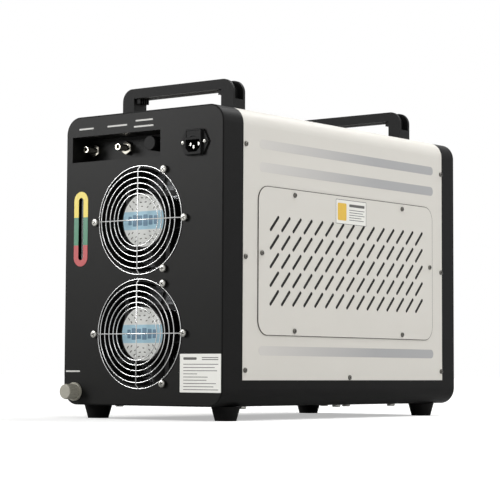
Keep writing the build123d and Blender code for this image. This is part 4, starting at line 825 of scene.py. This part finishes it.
sideLabel = dict(start=257.5, end=334.5, low=278.8, high=314.2, thick=0.2, off=1.2, border=0.7,
                 patch=(262.0, 284.0, 284.0, 309.0),
                 rows=((291, 330, 306.6, 4.0), (291, 330, 300.0, 0.9), (291, 326, 296.4, 0.9),
                       (291, 330, 292.8, 0.9), (291, 322, 289.2, 0.9), (291, 328, 285.6, 0.9)))


def makeSideLabel(look):
    face = sideFace + look["off"] * mm
    middle = (face, rearFace + (look["start"] + look["end"]) / 2 * mm, (look["low"] + look["high"]) / 2 * mm)
    size = ((look["end"] - look["start"]) * mm, (look["high"] - look["low"]) * mm)
    plate = roundedPlate("side_label", middle, size, look["thick"] * mm, (1, 0, 0), 0.8 * mm)
    finishPiece(plate, made["label_stock"])
    bars = []
    for start, end, height, tall in look["rows"]:
        place = (face + look["thick"] * mm, rearFace + (start + end) / 2 * mm, height * mm)
        bars.append(roundedPlate("side_bar", place, ((end - start) * mm, tall * mm), printThick * mm,
                                 (1, 0, 0), tall * 0.3 * mm, turns=2))
    finishPiece(joinPieces("side_label_bars", bars), made["ink_dark_grey"])
    start, end, low, high = look["patch"]
    place = (face + look["thick"] * mm, rearFace + (start + end) / 2 * mm, (low + high) / 2 * mm)
    frameLine = ringPlate("side_label_border", (face + look["thick"] * mm, middle[1], middle[2]),
                          size, look["border"] * mm, printThick * mm, (1, 0, 0), 0.8 * mm)
    finishPiece(frameLine, made["ink_dark_grey"])
    patch = roundedPlate("side_label_patch", place, ((end - start) * mm, (high - low) * mm),
                         printThick * mm, (1, 0, 0), 2.0 * mm)
    finishPiece(patch, made["ink_amber"])


makeSideLabel(sideLabel)

panelGapShadow = dict(wide=0.9, thick=1.05, corner=20.0)


def makePanelGapShadow(name, nodeName, side, look):
    # A dark strip round a filter panel: painted shadow of the gap at its edge.
    low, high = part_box(nodeName)
    middle = (side * sideFace, (low.y + high.y) / 2, (low.z + high.z) / 2)
    size = (high.y - low.y + 2 * look["wide"] * mm, high.z - low.z + 2 * look["wide"] * mm)
    gapShadow = ringPlate(name, middle, size, (look["wide"] - 0.05) * mm, look["thick"] * mm, (side, 0, 0),
                     (look["corner"] + look["wide"]) * mm, turns=10)
    finishPiece(gapShadow, made["dark_grey_painted_gap_shadow"])


makePanelGapShadow("right_panel_gap_shadow", "right_filter_panel", 1, panelGapShadow)
makePanelGapShadow("left_panel_gap_shadow", "left_filter_panel", -1, panelGapShadow)
print("film and labels made")


# Handles: plain webs in the inner corners, under the grip

handleWeb = dict(leg=21.0, grip=14.0, wall=4.6, reach=8.0, drop=7.0, count=5, thick=1.7)


def makeHandleWebs(name, nodeName, look):
    low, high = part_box(nodeName)
    under = high.z - look["grip"] * mm
    first = low.y + look["wall"] * mm
    pitch = (high.y - low.y - 2 * look["wall"] * mm) / (look["count"] - 1)
    webs = []
    for side in (-1, 1):
        corner = (low.x if side < 0 else high.x) - side * look["leg"] * mm
        for index in range(look["count"]):
            webs.append(makeWeb(corner, -side, under, first + pitch * index, look))
    finishPiece(joinPieces(name, webs), made["abs_black_grained"])


def makeWeb(corner, side, under, y, look):
    # A plain block in the corner. Side points from the corner into the gap.
    startFresh()
    reach, drop = look["reach"] * mm, look["drop"] * mm
    middle = Vector((corner + side * reach / 2, y - look["thick"] / 2 * mm, under - drop / 2))
    bpy.ops.mesh.primitive_plane_add(size=1, location=middle, rotation=facingTurn((0, -1, 0)))
    web = bpy.context.object
    web.scale = (reach, drop, 1)
    applyPlace(web)
    bpy.ops.object.mode_set(mode="EDIT")
    bpy.ops.mesh.select_all(action="SELECT")
    bpy.ops.mesh.extrude_region_move(TRANSFORM_OT_translate={"value": (0, look["thick"] * mm, 0)})
    fixNormals()
    return web


makeHandleWebs("rear_handle_webs", "rear_handle", handleWeb)
makeHandleWebs("front_handle_webs", "front_handle", handleWeb)
print("handle webs made")


# Control side: display window and keys on the controller's face

controlFace = dict(x=-20.0, z=356.0, bezel=2.4, window=(-64.0, -14.0, 343.0, 369.0),
                   keys=((-2.0, 363.0), (12.0, 363.0), (-2.0, 349.0), (12.0, 349.0)), keyRadius=4.2)


def makeControlFace(look):
    face = frontFace + look["bezel"] * mm
    left, right, low, high = look["window"]
    window = roundedPlate("display_window", ((left + right) / 2 * mm, face, (low + high) / 2 * mm),
                          ((right - left) * mm, (high - low) * mm), 0.4 * mm, (0, 1, 0), 2.0 * mm)
    finishPiece(window, made["acrylic_smoke"])
    keys = []
    for x, z in look["keys"]:
        keys.append(turnPiece("key", [(0, look["keyRadius"]), (0.9, look["keyRadius"]),
                                      (1.3, look["keyRadius"] - 0.5)], (x * mm, face, z * mm), (0, 1, 0),
                              sides=28))
    finishPiece(joinPieces("controller_keys", keys), made["silicone_grey"])


makeControlFace(controlFace)
print("control face made")


# Camera, floor and light

cameraLook = dict(place=(1.7050, -2.2400, 0.0653), yaw=0.659, pitch=0.082, roll=0.005, focal=1895.5,
                  rise=-33.5, picture=500.0, sensor=36.0)


def makeCamera(look):
    startFresh()
    bpy.ops.object.camera_add(location=look["place"])
    camera = bpy.context.object
    level = Euler((math.pi / 2 + look["pitch"], 0, look["yaw"])).to_matrix()
    camera.rotation_euler = (level @ Matrix.Rotation(look["roll"], 3, "Z")).to_euler()
    camera.data.sensor_width = look["sensor"]
    camera.data.lens = look["focal"] / look["picture"] * look["sensor"]
    camera.data.shift_y = look["rise"] / look["picture"]
    camera.data.clip_start = 0.05
    camera.data.clip_end = 60
    bpy.context.scene.camera = camera


makeCamera(cameraLook)

floorLook = dict(size=40.0, colour="#E6E6E5", nearLift=0.45, nearEdge=0.7, farEdge=2.2)


def makeFloor(look):
    # White paint. To the camera and to gloss it lightens to plain white away from the object.
    startFresh()
    bpy.ops.mesh.primitive_plane_add(size=look["size"], location=(0, 0, 0))
    floor = bpy.context.object
    floor.name = "floor"
    material = bpy.data.materials.new("painted_floor_white")
    material.use_nodes = True
    tree = material.node_tree
    tree.nodes.clear()
    path = addNode(tree, "ShaderNodeLightPath")
    place = addNode(tree, "ShaderNodeTexCoord")
    reach = addNode(tree, "ShaderNodeVectorMath", {"operation": "LENGTH"}, {0: place.outputs["Object"]})
    away = addNode(tree, "ShaderNodeMapRange", {"From Min": look["nearEdge"], "From Max": look["farEdge"]},
                   {"Value": reach.outputs["Value"]})
    near = addNode(tree, "ShaderNodeMath", {"operation": "MULTIPLY", 1: look["nearLift"]},
                   {0: path.outputs["Is Camera Ray"]})
    lift = addNode(tree, "ShaderNodeMath", {"operation": "MAXIMUM"},
                   {0: near.outputs[0], 1: away.outputs["Result"]})
    paint = addNode(tree, "ShaderNodeBsdfDiffuse", {"Color": hexColour(look["colour"])})
    glow = addNode(tree, "ShaderNodeEmission", {"Color": (1, 1, 1, 1)}, {"Strength": lift.outputs[0]})
    both = addNode(tree, "ShaderNodeAddShader", {}, {0: paint.outputs[0], 1: glow.outputs[0]})
    seen = addNode(tree, "ShaderNodeMath", {"operation": "MAXIMUM"},
                   {0: path.outputs["Is Camera Ray"], 1: path.outputs["Is Glossy Ray"]})
    through = addNode(tree, "ShaderNodeMath", {"operation": "MAXIMUM"},
                      {0: seen.outputs[0], 1: path.outputs["Is Transmission Ray"]})
    either = addNode(tree, "ShaderNodeMixShader", {},
                     {0: through.outputs[0], 1: paint.outputs[0], 2: both.outputs[0]})
    addNode(tree, "ShaderNodeOutputMaterial", {}, {"Surface": either.outputs[0]})
    floor.data.materials.append(material)


makeFloor(floorLook)

lamps = {
    "left_softbox": dict(place=(-1.75, -2.15, 1.05), aim=(0.0, -0.28, 0.25), size=0.9, power=42),
    "right_softbox": dict(place=(2.1, 1.5, 1.3), aim=(0.14, 0.0, 0.22), size=1.4, power=16),
    "near_softbox": dict(place=(1.5, -1.2, 1.6), aim=(0.14, -0.1, 0.22), size=1.0, power=14),
    "top_softbox": dict(place=(0.3, 0.8, 1.9), aim=(0.0, 0.1, 0.4), size=1.2, power=28),
}


def makeLamp(name, look):
    startFresh()
    bpy.ops.object.light_add(type="AREA", location=look["place"])
    lamp = bpy.context.object
    lamp.name = name
    lamp.data.size = look["size"]
    lamp.data.energy = look["power"]
    lamp.rotation_euler = (Vector(look["aim"]) - Vector(look["place"])).to_track_quat("-Z", "Y").to_euler()


for name, look in lamps.items():
    makeLamp(name, look)

roomLook = dict(ambient=0.25)


def makeRoom(look):
    world = bpy.data.worlds.new("studio")
    bpy.context.scene.world = world
    world.use_nodes = True
    tree = world.node_tree
    tree.nodes.clear()
    path = addNode(tree, "ShaderNodeLightPath")
    seen = addNode(tree, "ShaderNodeMath", {"operation": "MAXIMUM"},
                   {0: path.outputs["Is Camera Ray"], 1: path.outputs["Is Glossy Ray"]})
    through = addNode(tree, "ShaderNodeMath", {"operation": "MAXIMUM"},
                      {0: seen.outputs[0], 1: path.outputs["Is Transmission Ray"]})
    strength = addNode(tree, "ShaderNodeMapRange", {"To Min": look["ambient"], "To Max": 1.0},
                       {"Value": through.outputs[0]})
    sky = addNode(tree, "ShaderNodeBackground", {"Color": (1, 1, 1, 1)},
                  {"Strength": strength.outputs["Result"]})
    addNode(tree, "ShaderNodeOutputWorld", {}, {"Surface": sky.outputs[0]})


makeRoom(roomLook)
bpy.context.scene.view_settings.view_transform = "Standard"
print("camera, floor and light set")
